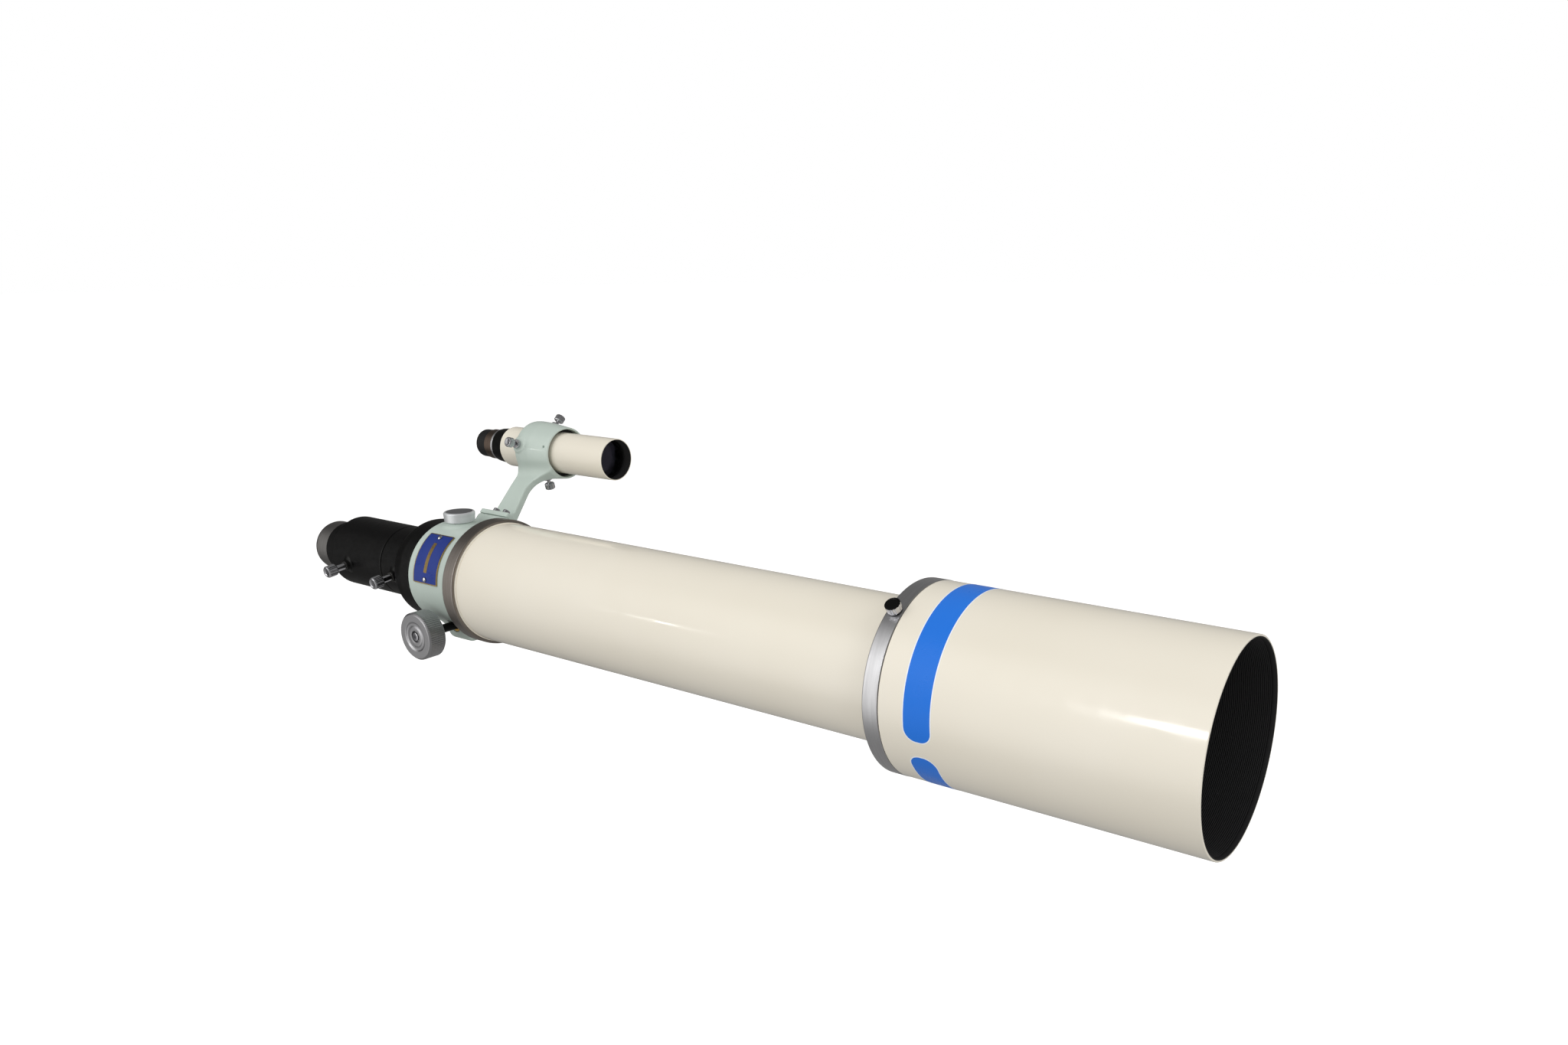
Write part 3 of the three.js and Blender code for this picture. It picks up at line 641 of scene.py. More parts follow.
def dew_shield():
    lip = SHIELD_FRONT - 2.2
    ridges_end = SHIELD_REAR + 20
    count = int((lip - 0.5 - ridges_end) / RIDGE)
    rows = ridges(lip - 0.4, count, RIDGE, RIDGE * 0.55, SHIELD_BORE, RIDGE_DEPTH)
    piece("dew_shield", coaxial([
        (SHIELD_REAR, SHIELD_BORE), (SHIELD_REAR, SHIELD_R, 0.5), (SHIELD_FRONT, SHIELD_R, 0.6),
        (SHIELD_FRONT, SHIELD_R - 1.1, 0, 1), (SHIELD_FRONT, SHIELD_BORE + 0.3, 0.3, 1),
        (lip + 0.6, SHIELD_BORE, 0.2, 1), *rows, (ridges_end - 1, SHIELD_BORE, 0, 1),
    ]), CREAM, SHADOW)
    margin = math.degrees(BAND_EDGE / SHIELD_R)
    for i, arc in enumerate(BAND_ARCS):
        wide, outer = (arc[0] - margin, arc[1] + margin), (BAND[0] - BAND_EDGE, BAND[1] + BAND_EDGE)
        film_edge = wrapped(outer, wide, SHIELD_R + 0.01, 0.06, 8.6)
        film = wrapped(BAND, arc, SHIELD_R + 0.05, 0.06, 7.9)
        piece("dew_shield", film_edge, WHITE, name=f"band_edge_{i + 1}", stands=False)
        piece("dew_shield", film, BLUE, name=f"band_film_{i + 1}", stands=False)


def dew_shield_ring():
    at, axis = hinge("shield_lock")
    place = stood((at.x, 0, 0), axis)
    hole = lathe(section(46, 66, 0, 2.3), SMALL).moved(place)
    step, step_r, inner = SHIELD_REAR + 8, SHIELD_BORE - GAP, 57.4
    ring = coaxial([
        (SHIELD_RING_REAR, SHIELD_RING_BORE), (SHIELD_RING_REAR, SHIELD_RING_R, 0.8),
        (SHIELD_RING_FRONT, SHIELD_RING_R, 0.45), (SHIELD_RING_FRONT, step_r), (step, step_r, 0.3),
        (step, inner), (SHIELD_RING_FRONT, inner), (SHIELD_RING_FRONT, SHIELD_RING_BORE),
    ])
    piece("dew_shield_ring", combined(ring, ("DIFFERENCE", hole)), SILVER)
    liner = coaxial(section(SHIELD_RING_REAR + 0.5, SHIELD_RING_FRONT - 0.5, TUBE_R + 0.4,
                            SHIELD_RING_BORE - GAP, 0.3))
    piece("dew_shield_liner", combined(liner, ("DIFFERENCE", hole)), FELT)
    tip, foot, head, top, size = 47.9, 62.7, 63.9, 68.5, 5
    piece("dew_shield_lock_screw", lathe([
        (tip, 0), (tip, 1.6, 0.2), (tip + 0.6, 2), (foot, 2), (foot, 4.3, 0.3), (head, size, 0.3),
        (top, size, 0.7, 1), (top, 4.1, 0.2, 1), (top - 0.25, 3.8, 0, 1), (top - 0.25, 0, 0, 1),
    ], 14 * 12, [knurl(size, 0.3, 14, head - 0.4, top - 0.3, 0.35)]).moved(place), CHROME,
        BLACK_GLOSS)


# ---------------------------------------------------------------- objective
LENS_R = 50


def lens(node, rim, rear_bulge, front_bulge, fillet=0.3, steps=14, centre=Vector()):
    """A lens whose two faces rise by their bulge; a face with a negative one is hollow."""
    rear, front = ends(node)
    rear += max(0, rear_bulge)
    front -= front_bulge
    shares = [k / steps for k in range(steps)]
    back = [(rear - rear_bulge * (1 - t * t), rim * t) for t in shares]
    fore = [(front + front_bulge * (1 - t * t), rim * t) for t in reversed(shares)]
    outline = [*back, (rear, rim, fillet), (front, rim, fillet), *fore]
    piece(node, coaxial(outline, MID, centre=centre), GLASS)


def objective():
    rear, front = ends("objective_cell")
    outer = radius("objective_cell")
    sleeve_r, shoulder_r, bore, aperture = 45.6, 51, 50.4, 47
    seat, shoulder = front - 32, TUBE_FRONT + GAP
    piece("objective_cell", coaxial([
        (rear, sleeve_r - 1.4), (rear, sleeve_r, 0.2), (shoulder, sleeve_r),
        (shoulder, shoulder_r, 0.3), (shoulder + 4.7, outer, 0.6), (front, outer, 1.0),
        (front, bore, 0.5), (seat, bore), (seat, aperture, 0.2), (seat - 4, aperture - 1),
    ]), BLACK)
    lens("lens_rear", LENS_R, -1.2, 1.0)
    piece("lens_spacer", coaxial(section(*ends("lens_spacer"), 47.5, LENS_R, 0.2)), BLACK)
    lens("lens_front", LENS_R, 0.4, 2.6)
    start, stop = ends("lens_retaining_ring")
    ring = coaxial([
        (start, 47.2), (start, LENS_R, 0.2), (stop, LENS_R, 0.4), (stop, 48.6, 0.3),
    ])
    slot = block((stop - 1.6, -1.5, 46), (stop + 2, 1.5, 52))
    slots = [("DIFFERENCE", slot.moved(Matrix.Rotation(math.radians(a), 4, "X")))
             for a in (0, 90, 180, 270)]
    piece("lens_retaining_ring", combined(ring, *slots), BLACK)


# ---------------------------------------------------------------- focuser housing
HOUSING_REAR, SPIGOT_FRONT = ends("focuser_housing")
HOUSING_R = 42
HOUSING_FRONT = RING_REAR - GAP
SPIGOT_R, SPIGOT_BORE = 45.6, 42.6
GUIDE_BORE = 32.5
LOCK_X = middle("focus_lock_knob").x
SHAFT_AT = Vector((middle("pinion_shaft").x, 0, middle("pinion_shaft").z))
SHAFT_R = 3.5
LUG_SIDE = 19.5
PAD_TOP, PAD_SIDE = 50.2, 16
RACK_SLOT_BOTTOM, PINION_SLOT_BOTTOM, SLOTS_TOP = -35.4, -46.6, -28


def screw_axis(node):
    """The direction from the optical axis through a screw that stands square on the housing."""
    centre = middle(node)
    return Vector((0, centre.y, centre.z)).normalized()


def focuser_housing():
    field = Field((HOUSING_REAR - 2, -48, -53), (SPIGOT_FRONT + 2, 52, 52))
    x, round_axis = field.about((0, 0, 0), AXIS)
    body = outline_distance([
        (HOUSING_REAR, -5), (HOUSING_REAR, HOUSING_R, 1.2), (HOUSING_FRONT - 5.5, HOUSING_R, 6),
        (HOUSING_FRONT, SPIGOT_R - 0.6), (HOUSING_FRONT, SPIGOT_R), (SPIGOT_FRONT, SPIGOT_R, 0.6),
        (SPIGOT_FRONT, -5),
    ], x, round_axis)
    z, round_boss = field.about((LOCK_X, 0, 0), UP)
    boss = outline_distance([
        (28, -3), (28, 12.5), (41.3, 12.5, 1.2), (42.2, 10.8, 0.6), (43.3, 10.2, 0.6), (43.3, -3),
    ], z, round_boss)
    lug = outline_distance([
        (-257, -28), (-257, -38, 8), (-250.5, -50.2, 7), (-241, -50.2, 20), (-222, -50.0, 7),
        (-216.6, -42, 5), (-216.6, -28),
    ], x, field.z)
    lug = slab(lug, np.abs(field.y) - LUG_SIDE, 3.0)
    whole = blend(blend(blend(body, boss, 4), finder_pad(field), 4), lug, 6)
    bore = outline_distance([
        (HOUSING_REAR - 4, -5), (HOUSING_REAR - 4, GUIDE_BORE), (-209, GUIDE_BORE),
        (-209, SPIGOT_BORE), (SPIGOT_FRONT + 4, SPIGOT_BORE), (SPIGOT_FRONT + 4, -5),
    ], x, round_axis)
    whole = carve(whole, bore, 0.8)
    whole = carve_pinion_room(whole, field)
    whole = carve(whole, np.maximum(round_boss - 3.4, 28 - z), 0.5)
    for bolt in BOLTS:
        along, off = field.about(middle(bolt), FINDER_OUT)
        whole = cut(whole, np.maximum(off - 1.9, -along - 12))
    for end in ("top", "bottom"):
        node = f"nameplate_screw_{end}"
        along, off = field.about(middle(node), screw_axis(node))
        whole = cut(whole, np.maximum(off - 1.2, -along - 4))
    piece("focuser_housing", field.surface(whole), GREEN, sharp=50)


def finder_pad(field):
    """The flat pad with bevelled sides that the finder's foot is bolted to."""
    side = field.y * FINDER_SIDE.y + field.z * FINDER_SIDE.z
    out = field.y * FINDER_OUT.y + field.z * FINDER_OUT.z
    pad = outline_distance(rectangle(-256, -222, PAD_SIDE, 2.5), field.x, side)
    bevel = (np.abs(side) + out - (PAD_SIDE + PAD_TOP - 2.2)) * math.sqrt(0.5)
    return slab(slab(pad, np.maximum(out - PAD_TOP, 30 - out), 0.8), bevel, 0.8)


def carve_pinion_room(whole, field):
    """Cuts the rack's slot, the pinion's pocket and the bushes' bore."""
    slot = np.maximum(RACK_SLOT_BOTTOM - field.z, field.z - SLOTS_TOP)
    slot = np.maximum(np.abs(field.y) - 4.6, slot)
    whole = cut(whole, np.maximum(slot, field.x + 208))
    pocket = np.maximum(np.abs(field.x - SHAFT_AT.x) - 7, np.abs(field.y) - 6.4)
    pocket = np.maximum(pocket, np.maximum(PINION_SLOT_BOTTOM - field.z, field.z - SLOTS_TOP))
    whole = cut(whole, pocket)
    _, round_shaft = field.about(SHAFT_AT, (0, 1, 0))
    return carve(whole, np.maximum(round_shaft - 5.8, np.abs(field.y) - 30), 0.5)


PLATE_ARC = (2, 60)  # degrees round the housing, from -Y upwards
PLATE_BORDER = 0.9


def nameplate():
    x0, x1 = ends("nameplate")
    low, high = PLATE_ARC
    edge = math.degrees(PLATE_BORDER / HOUSING_R)
    inner, mid, bar_half = HOUSING_R + GAP, (x0 + x1) / 2, 1.9
    piece("nameplate", wrapped((x0, x1), PLATE_ARC, inner, 0.62, 0.9), GOLD)
    enamel_span = (x0 + PLATE_BORDER, x1 - PLATE_BORDER)
    blue = wrapped(enamel_span, (low + edge, high - edge), inner + 0.5, 0.2, 0.5)
    piece("nameplate", blue, PLATE_BLUE, name="nameplate_enamel", stands=False)
    bar = wrapped((mid - bar_half, mid + bar_half), (14, 48), inner + 0.6, 0.22, 0.4)
    piece("nameplate", bar, GOLD, name="nameplate_bar", stands=False)
    under, top = 43.3, 44.6
    for end in ("top", "bottom"):
        node = f"nameplate_screw_{end}"
        piece(node, lathe([
            (39, 0), (39, 0.9, 0.2), (under, 0.9), (under, 2.1, 0.15), (top - 0.7, 1.9, 0.5),
            (top, 0.9, 1.0), (top, 0),
        ], SMALL).moved(stood((middle(node).x, 0, 0), screw_axis(node))), CHROME)


def lock_knob():
    lo, hi = corners("focus_lock_knob")
    size = (hi.x - lo.x) / 2
    tip, foot, top = 33.1, 43.7, hi.z
    place = stood((LOCK_X, 0, 0), UP)
    piece("focus_lock_knob", lathe([
        (tip, 0), (tip, 3, 0.4), (foot, 3), (foot, size - 1.6, 0.2), (foot + 0.6, size - 0.6, 0.4),
        (top - 1, size, 0.9), (top, size - 0.8, 0.7), (top, size - 1.9, 0.3, 1),
        (top - 0.5, size - 3.2, 1.5, 1), (top - 0.8, 2, 0, 1), (top - 0.8, 0, 0, 1),
    ], MID).moved(place), LOCK_SILVER, LOCK_TOP)
    piece("focus_lock_shoe", lathe(section(30.4, 32.8, 0, 2.9, 0.3), SMALL).moved(place), BRASS)


def guides():
    for end in ("rear", "front"):
        node = f"drawtube_guide_{end}"
        x0, x1 = ends(node)
        ring = coaxial(section(x0, x1, DRAW_R + 0.35, GUIDE_BORE - GAP, 0.4))
        gap = block((x0 - 1, -5.4, -36), (x1 + 1, 5.4, -20))
        piece(node, combined(ring, ("DIFFERENCE", gap)), POLYMER)


# ---------------------------------------------------------------- drawtube and flange
DRAW_REAR, DRAW_FRONT = ends("drawtube")
DRAW_R = radius("drawtube")
DRAW_BORE = DRAW_R - 2.4
FLANGE_REAR, FLANGE_FRONT = ends("drawtube_flange")
FLANGE_R = radius("drawtube_flange")
KNURLED_R = 33
EXTENSION_REAR, EXTENSION_FRONT = ends("extension_tube")
EXTENSION_R, EXTENSION_BORE = radius("extension_tube"), 27.5
HOLDER_REAR, HOLDER_FRONT = ends("eyepiece_holder")
HOLDER_SPIGOT, HOLDER_BORE, HOLDER_GROOVE = 27, 25.6, 26.9
ADAPTER_REAR, ADAPTER_FRONT = ends("eyepiece_adapter")
ADAPTER_R, ADAPTER_NECK, ADAPTER_BORE = radius("eyepiece_adapter"), 22.5, 16
BARREL_R, RECESS_R = 25.2, 20.5
CLAMP_AXIS = hinge("holder_clamp")[1]
CLAMP_X = {"front": hinge("rotator_clamp")[0].x, "rear": hinge("holder_clamp")[0].x}


def drawtube():
    rack_rear, _ = ends("focus_rack")
    tube = coaxial([
        (DRAW_REAR, DRAW_BORE), (DRAW_REAR, DRAW_R, 0.3), (DRAW_FRONT, DRAW_R, 0.7),
        (DRAW_FRONT, DRAW_BORE, 0, 1),
    ])
    slot = block((rack_rear - 0.4, -3.85, -36), (DRAW_FRONT + 1, 3.85, -28.4))
    piece("drawtube", combined(tube, ("DIFFERENCE", slot)), BLACK, SHADOW)
    step, inside = FLANGE_REAR + 3, DRAW_REAR - GAP
    piece("drawtube_flange", coaxial([
        (FLANGE_FRONT, DRAW_R + GAP), (FLANGE_FRONT, FLANGE_R, 0.6), (FLANGE_FRONT - 11, FLANGE_R, 16),
        (step + 5, FLANGE_R - 0.9, 7), (step, FLANGE_R - 3.4, 1.2), (step, KNURLED_R - 0.4),
        (step - 0.2, KNURLED_R - 0.4), (step - 0.4, KNURLED_R, 0.1), (FLANGE_REAR, KNURLED_R, 0.4),
        (FLANGE_REAR, EXTENSION_BORE), (inside, EXTENSION_BORE), (inside, DRAW_R + GAP),
    ], 180 * 6, [knurl(KNURLED_R, 0.3, 180, FLANGE_REAR + 0.3, step - 0.3, 0.2)]), BLACK)


def focus_rack():
    """The toothed rack keeps its CAD mesh and gets a finish of its own."""
    rack = frame["nodes"]["focus_rack"].data
    rack.materials.clear()
    rack.materials.append(BRASS)


# ---------------------------------------------------------------- eyepiece end
def bored_for_clamp(outside, bore, x):
    """A tube with a short flared boss, and the hole of a clamp screw through it."""
    boss = lathe([
        (28, 0), (28, 9.4), (29.4, 7.2, 3), (30.7, 5.0, 2.5), (33.6, 4.5, 0.9), (33.6, 0),
    ], SMALL)
    hole = lathe(section(24, 36, 0, 2.2), SMALL)
    place = stood((x, 0, 0), CLAMP_AXIS)
    return combined(outside, ("UNION", boss.moved(place)), ("DIFFERENCE", bore),
                    ("DIFFERENCE", hole.moved(place)))


def extension_tube():
    rear, front = EXTENSION_REAR, EXTENSION_FRONT
    outside = coaxial([(rear, 0), (rear, EXTENSION_R, 1.1), (front, EXTENSION_R, 0.5), (front, 0)])
    bore = coaxial(section(rear - 1, front + 1, 0, EXTENSION_BORE))
    piece("extension_tube", bored_for_clamp(outside, bore, CLAMP_X["front"]), BLACK)


def eyepiece_holder():
    rear, front = HOLDER_REAR, HOLDER_FRONT
    shoulder = EXTENSION_REAR - 0.4
    groove_rear, groove_front = rear + 20, rear + 28
    outside = coaxial([
        (rear, 0), (rear, EXTENSION_R, 1.5), (shoulder, EXTENSION_R, 1.1), (shoulder, HOLDER_SPIGOT),
        (front, HOLDER_SPIGOT, 0.3), (front, 0),
    ])
    bore = coaxial([
        (rear - 1, 0), (rear - 1, HOLDER_BORE + 0.5), (rear + 0.6, HOLDER_BORE + 0.5),
        (rear + 1.1, HOLDER_BORE), (groove_rear, HOLDER_BORE), (groove_rear, HOLDER_GROOVE),
        (groove_front, HOLDER_GROOVE), (groove_front, HOLDER_BORE), (front + 1, HOLDER_BORE),
        (front + 1, 0),
    ])
    piece("eyepiece_holder", bored_for_clamp(outside, bore, CLAMP_X["rear"]), BLACK)
    x0, x1 = ends("compression_ring")
    ring = coaxial(section(x0, x1, HOLDER_BORE + GAP, HOLDER_GROOVE - GAP, 0.15))
    split = block((x0 - 1, -1.5, 20), (x1 + 1, 1.5, 30))
    piece("compression_ring", combined(ring, ("DIFFERENCE", split)), BRASS)


def clamp_screws():
    neck, head, top, size = 34, 42, 50.6, 5.1
    for end, tip in (("front", 27.8), ("rear", 27.1)):
        piece(f"clamp_screw_{end}", lathe([
            (tip, 0), (tip, 1.9, 0.3), (neck, 1.9), (neck, 2.8, 0.3), (head, 2.8), (head, 4.3, 0.2),
            (head + 0.9, size, 0.3), (top - 1, size, 0.3), (top, 4.3, 0.3), (top, 3.4, 0.2),
            (top - 0.5, 3.0, 0.3), (top - 0.5, 0),
        ], 22 * 8, [knurl(size, 0.4, 22, head + 0.4, top - 0.6, 0.3)]).moved(
            stood((CLAMP_X[end], 0, 0), CLAMP_AXIS)), CHROME)


def threads(rear, front, size, pitch=0.75, depth=0.4):
    """Fine thread-like rings down a bore in the second finish, from the rear forwards."""
    rows = []
    for k in range(int((front - rear) / pitch)):
        x = rear + k * pitch
        rows += [(x, size, 0, 1), (x + pitch / 2, size + depth, 0, 1)]
    return rows


def adapter():
    rear, front = ADAPTER_REAR, ADAPTER_FRONT
    lip = HOLDER_REAR - 0.4
    step, recess, floor_x = lip - 3, rear + 6.4, front - 29
    rings = threads(rear + 6.6, floor_x - 0.2, ADAPTER_BORE)
    piece("eyepiece_adapter", coaxial([
        (rear, RECESS_R), (rear, ADAPTER_NECK, 0.6), (step, ADAPTER_NECK, 0.3),
        (step, ADAPTER_R, 0.8), (lip, ADAPTER_R, 0.6), (lip, BARREL_R), (front - 0.8, BARREL_R),
        (front, BARREL_R - 0.8), (front, 23, 0.2), (floor_x, 23), (floor_x, ADAPTER_BORE),
        *reversed(rings), (recess, ADAPTER_BORE), (recess, RECESS_R),
    ]), BLACK, SHADOW)


def collar():
    rear, front = ends("adapter_collar")
    size, face, spigot = radius("adapter_collar"), ADAPTER_REAR - 0.4, RECESS_R - 0.4
    piece("adapter_collar", coaxial([
        (rear, ADAPTER_BORE + 0.5, 0.4), (rear, size - 2.6, 0.6), (rear + 1.1, size - 0.9, 1.4),
        (rear + 3.8, size, 2.5), (face, size, 0.7), (face, spigot), (front, spigot, 0.2),
        (front, ADAPTER_BORE), (rear + 0.4, ADAPTER_BORE),
    ]), COLLAR_GREY)


# ---------------------------------------------------------------- pinion and focus knobs
SCREW_HOLE = 1.7


def gear_outline(teeth=12, module=0.8, backlash=0.25, tip=0.65):
    """Involute teeth of a 20 degree pinion, the same as the CAD pinion's."""
    pitch_r = module * teeth / 2
    base = pitch_r * math.cos(math.radians(20))
    root, top = pitch_r - tip * module - 0.25, pitch_r + module

    def involute(r):
        bend = math.acos(min(1, base / r))
        return math.tan(bend) - bend

    def half(r):
        thick = (math.pi * module - backlash) / 4 / pitch_r
        return thick + involute(pitch_r) - involute(max(r, base))

    radii = [root, base, pitch_r, (pitch_r + top) / 2, top]
    points = []
    for k in range(teeth):
        centre = math.pi / 2 + 2 * math.pi * k / teeth
        for sign, run in ((-1, radii), (1, reversed(radii))):
            points += [(r * math.cos(centre + sign * half(r)), r * math.sin(centre + sign * half(r)))
                       for r in run]
    return points


def pinion():
    end = corners("pinion_shaft")[1].y
    far, near = (stood(SHAFT_AT, (0, sign, 0)) for sign in (1, -1))
    shaft = lathe(section(-end, end, 0, SHAFT_R, 0.4), SMALL)
    gear = prism(gear_outline(), 10, stood((SHAFT_AT.x, 5, SHAFT_AT.z), (0, -1, 0), AXIS))
    hole = lathe(section(44, 60, 0, SCREW_HOLE), SMALL)
    piece("pinion_shaft", combined(
        shaft.moved(far), ("UNION", gear), ("DIFFERENCE", hole.moved(far)),
        ("DIFFERENCE", hole.moved(near)),
    ), BLACK_GLOSS)
    for side, place in zip(SIDES, (near, far)):
        focus_knob(side, place)


def focus_knob(side, place):
    lo, hi = corners(f"focus_knob_{side}")
    face, inner = max(abs(lo.y), abs(hi.y)), min(abs(lo.y), abs(hi.y))
    size, end, back, head = (hi.z - lo.z) / 2, 54, inner + 4, face - 2.3
    piece(f"focus_knob_{side}", lathe([
        (end, SCREW_HOLE), (end, SHAFT_R + GAP), (inner, SHAFT_R + GAP), (inner, 7), (back, 7, 0.4),
        (back, 16.4, 0.4), (inner, 16.4), (inner, size - 1.0, 0.3), (inner + 1.1, size, 0.4),
        (face - 1.5, size, 0.5), (face, size - 1.4, 0.6), (face, 12.2, 1.0), (face - 0.9, 11.0, 0.8),
        (face - 0.9, 9.0, 0.8), (face - 0.1, 7.8, 1.0), (face - 0.1, 4.7, 0.5), (face - 2.6, 4.2, 0.4),
        (face - 2.6, SCREW_HOLE),
    ], 72 * 8, [knurl(size, 0.36, 72, inner + 0.1, face - 0.1, 0.58)], turn=18).moved(place),
        KNOB_SILVER)
    socket, bottom = 1.75, face - 1.6
    piece(f"focus_knob_screw_{side}", lathe([
        (45, 0), (45, 1.35, 0.2), (head, 1.35), (head, 3.4, 0.2), (face, 3.4, 0.5),
        (face, socket, 0.1), (bottom, socket), (bottom, 0),
    ], SMALL, [hexagon(socket, bottom - 0.01, face + 0.01)]).moved(place), CHROME)
    bush = section(7, LUG_SIDE - 0.4, SHAFT_R + 0.35, 5.5, 0.3)
    piece(f"pinion_bush_{side}", lathe(bush, SMALL).moved(place), BRASS)


# ---------------------------------------------------------------- finder bracket
BRACKET_REAR, BRACKET_FRONT = -256, -217.5
ADJUSTERS_AT = Vector((hinge("finder_adjuster_out")[0].x, *FINDER_AT[1:]))
PIVOT_X = middle("finder_pivot_ring").x
FOOT_SIDE = 14.6


def finder_bracket():
    lo, hi = corners("finder_bracket")
    field = Field(lo - Vector((2, 3, 3)), hi + Vector((2, 2, 2)), VOXEL * 0.8)
    x, round_finder = field.about(FINDER_AT, AXIS)
    sleeve = outline_distance([
        (BRACKET_REAR, -5), (BRACKET_REAR, 24.1, 2.2), (-250, 24.5, 6), (-240, 24.2, 12),
        (BRACKET_FRONT, 21.7, 0.8), (BRACKET_FRONT, -5),
    ], x, round_finder)
    out = field.y * FINDER_OUT.y + field.z * FINDER_OUT.z
    side = field.y * FINDER_SIDE.y + field.z * FINDER_SIDE.z
    arm = outline_distance([
        (-255, 50), (-229.4, 50), (-236.5, 86, 12), (-234, 93, 8), (-228, 99, 8), (-219, 105.6, 3),
        (-219, 112), (-255.6, 112), (-256.2, 86, 60),
    ], x, out)
    arm = slab(arm, np.abs(side) - 3.2, 1.5)
    foot = outline_distance(rectangle(-257, -223, FOOT_SIDE, 1.2), x, side)
    foot = slab(foot, np.abs(out - (PAD_TOP + 2.3)) - 2.0, 0.6)
    whole = blend(blend(sleeve, arm, 8), foot, 3.5)
    for where in ADJUSTERS:
        along, off = field.about(ADJUSTERS_AT, hinge(f"finder_adjuster_{where}")[1])
        spot = slab(off - 6.2, np.abs(along - 21.5) - 3.1, 0.7)
        whole = blend(whole, spot, 2.5)
    wide, narrow = 21.6, 20.1
    bore = outline_distance([
        (BRACKET_REAR - 4, -5), (BRACKET_REAR - 4, wide), (-232, wide), (-228, narrow),
        (BRACKET_FRONT + 4, narrow), (BRACKET_FRONT + 4, -5),
    ], x, round_finder)
    whole = carve(whole, bore, 0.5)
    for where in ADJUSTERS:
        along, off = field.about(ADJUSTERS_AT, hinge(f"finder_adjuster_{where}")[1])
        whole = carve(whole, np.maximum(off - 1.8, -along), 0.4)
    along, off = field.about((PIVOT_X, *FINDER_AT[1:]), across(159.3))
    whole = carve(whole, np.maximum(off - 1.0, 20.6 - along), 0.3)
    for bolt in BOLTS:
        along, off = field.about(middle(bolt), FINDER_OUT)
        whole = cut(whole, np.maximum(off - 1.9, along - 6))
        whole = carve(whole, np.maximum(off - 3.6, np.abs(out - (PAD_TOP + 8.5)) - 4), 0.4)
    piece("finder_bracket", field.surface(whole), GREEN, sharp=50)


def bracket_bolts():
    under, top = PAD_TOP + 4.6, PAD_TOP + 7.8
    socket, bottom = 1.4, top - 1.8
    for node in BOLTS:
        centre = middle(node)
        foot = centre - centre.dot(FINDER_OUT) * FINDER_OUT
        piece(node, lathe([
            (44, 0), (44, 1.6, 0.2), (under, 1.6), (under, 2.9, 0.15), (top, 2.9, 0.6),
            (top, socket, 0.1), (bottom, socket), (bottom, 0),
        ], SMALL, [hexagon(socket, bottom - 0.01, top + 0.01)]).moved(
            stood(foot, FINDER_OUT)), CHROME)


def adjusting_screws():
    tip, head, top, size = 18.3, 30.8, 36.2, 4.2
    low, high, nut, nut_bore = 24.9, 27.6, 3.9, 1.75
    for where in ADJUSTERS:
        place = stood(ADJUSTERS_AT, hinge(f"finder_adjuster_{where}")[1])
        piece(f"finder_adjuster_{where}", lathe([
            (tip, 0), (tip, 0.8, 0.3), (tip + 0.7, 1.4, 0.2), (head, 1.4), (head, size - 0.7, 0.2),
            (head + 0.7, size, 0.25), (top - 0.7, size, 0.25), (top, size - 0.7, 0.3),
            (top, 2.7, 0.2), (top - 0.4, 2.3, 0.2), (top - 0.4, 0),
        ], 20 * 8, [knurl(size, 0.36, 20, head + 0.3, top - 0.3, 0.3)]).moved(place), CHROME)
        piece(f"finder_lock_nut_{where}", lathe([
            (low, nut_bore), (low, nut - 0.4, 0.2), (low + 0.4, nut, 0.2), (high - 0.4, nut, 0.2),
            (high, nut - 0.4, 0.2), (high, nut_bore),
        ], 20 * 8, [knurl(nut, 0.3, 20, low + 0.2, high - 0.2, 0.3)]).moved(place), CHROME)


def pivot_ring():
    reach, size = 18.7, 1.05
    ring = [(PIVOT_X + size * math.cos(math.radians(a)), reach + size * math.sin(math.radians(a)))
            for a in range(0, 360, 20)]
    piece("finder_pivot_ring", coaxial(ring, MID, centre=FINDER_AT), RUBBER)


# ---------------------------------------------------------------- finder
FINDER_REAR, FINDER_FRONT = ends("finder_tube")
FINDER_R, FINDER_BORE = radius("finder_tube"), 15.9


def around_finder(outline):
    return coaxial(outline, MID, centre=FINDER_AT)


def finder_tube():
    lip = FINDER_FRONT - 1.6
    rows = ridges(lip - 0.3, 14, 0.35, 0.2, FINDER_BORE, 0.2)
    piece("finder_tube", around_finder([
        (FINDER_REAR, FINDER_BORE), (FINDER_REAR, FINDER_R, 0.3), (FINDER_FRONT, FINDER_R, 0.4),
        (FINDER_FRONT, FINDER_R - 0.7, 0, 1), (FINDER_FRONT, FINDER_BORE + 0.1, 0.2, 1),
        (lip + 0.3, FINDER_BORE, 0.1, 1), *rows, (lip - 6.5, FINDER_BORE, 0, 1),
    ]), CREAM, SHADOW)


def finder_lenses():
    lens("finder_objective", 15.5, 0.8, 1.4, fillet=0.2, steps=10, centre=FINDER_AT)
    lens("finder_eye_lens", 9.6, 0.5, 1.2, fillet=0.2, steps=10, centre=FINDER_AT)
    x0, x1 = ends("finder_lens_ring")
    piece("finder_lens_ring", around_finder([
        (x0, 14, 0.1), (x0, 15.5, 0.1), (x1, 15.5, 0.3), (x1, 14.6, 0.2),
    ]), BLACK)


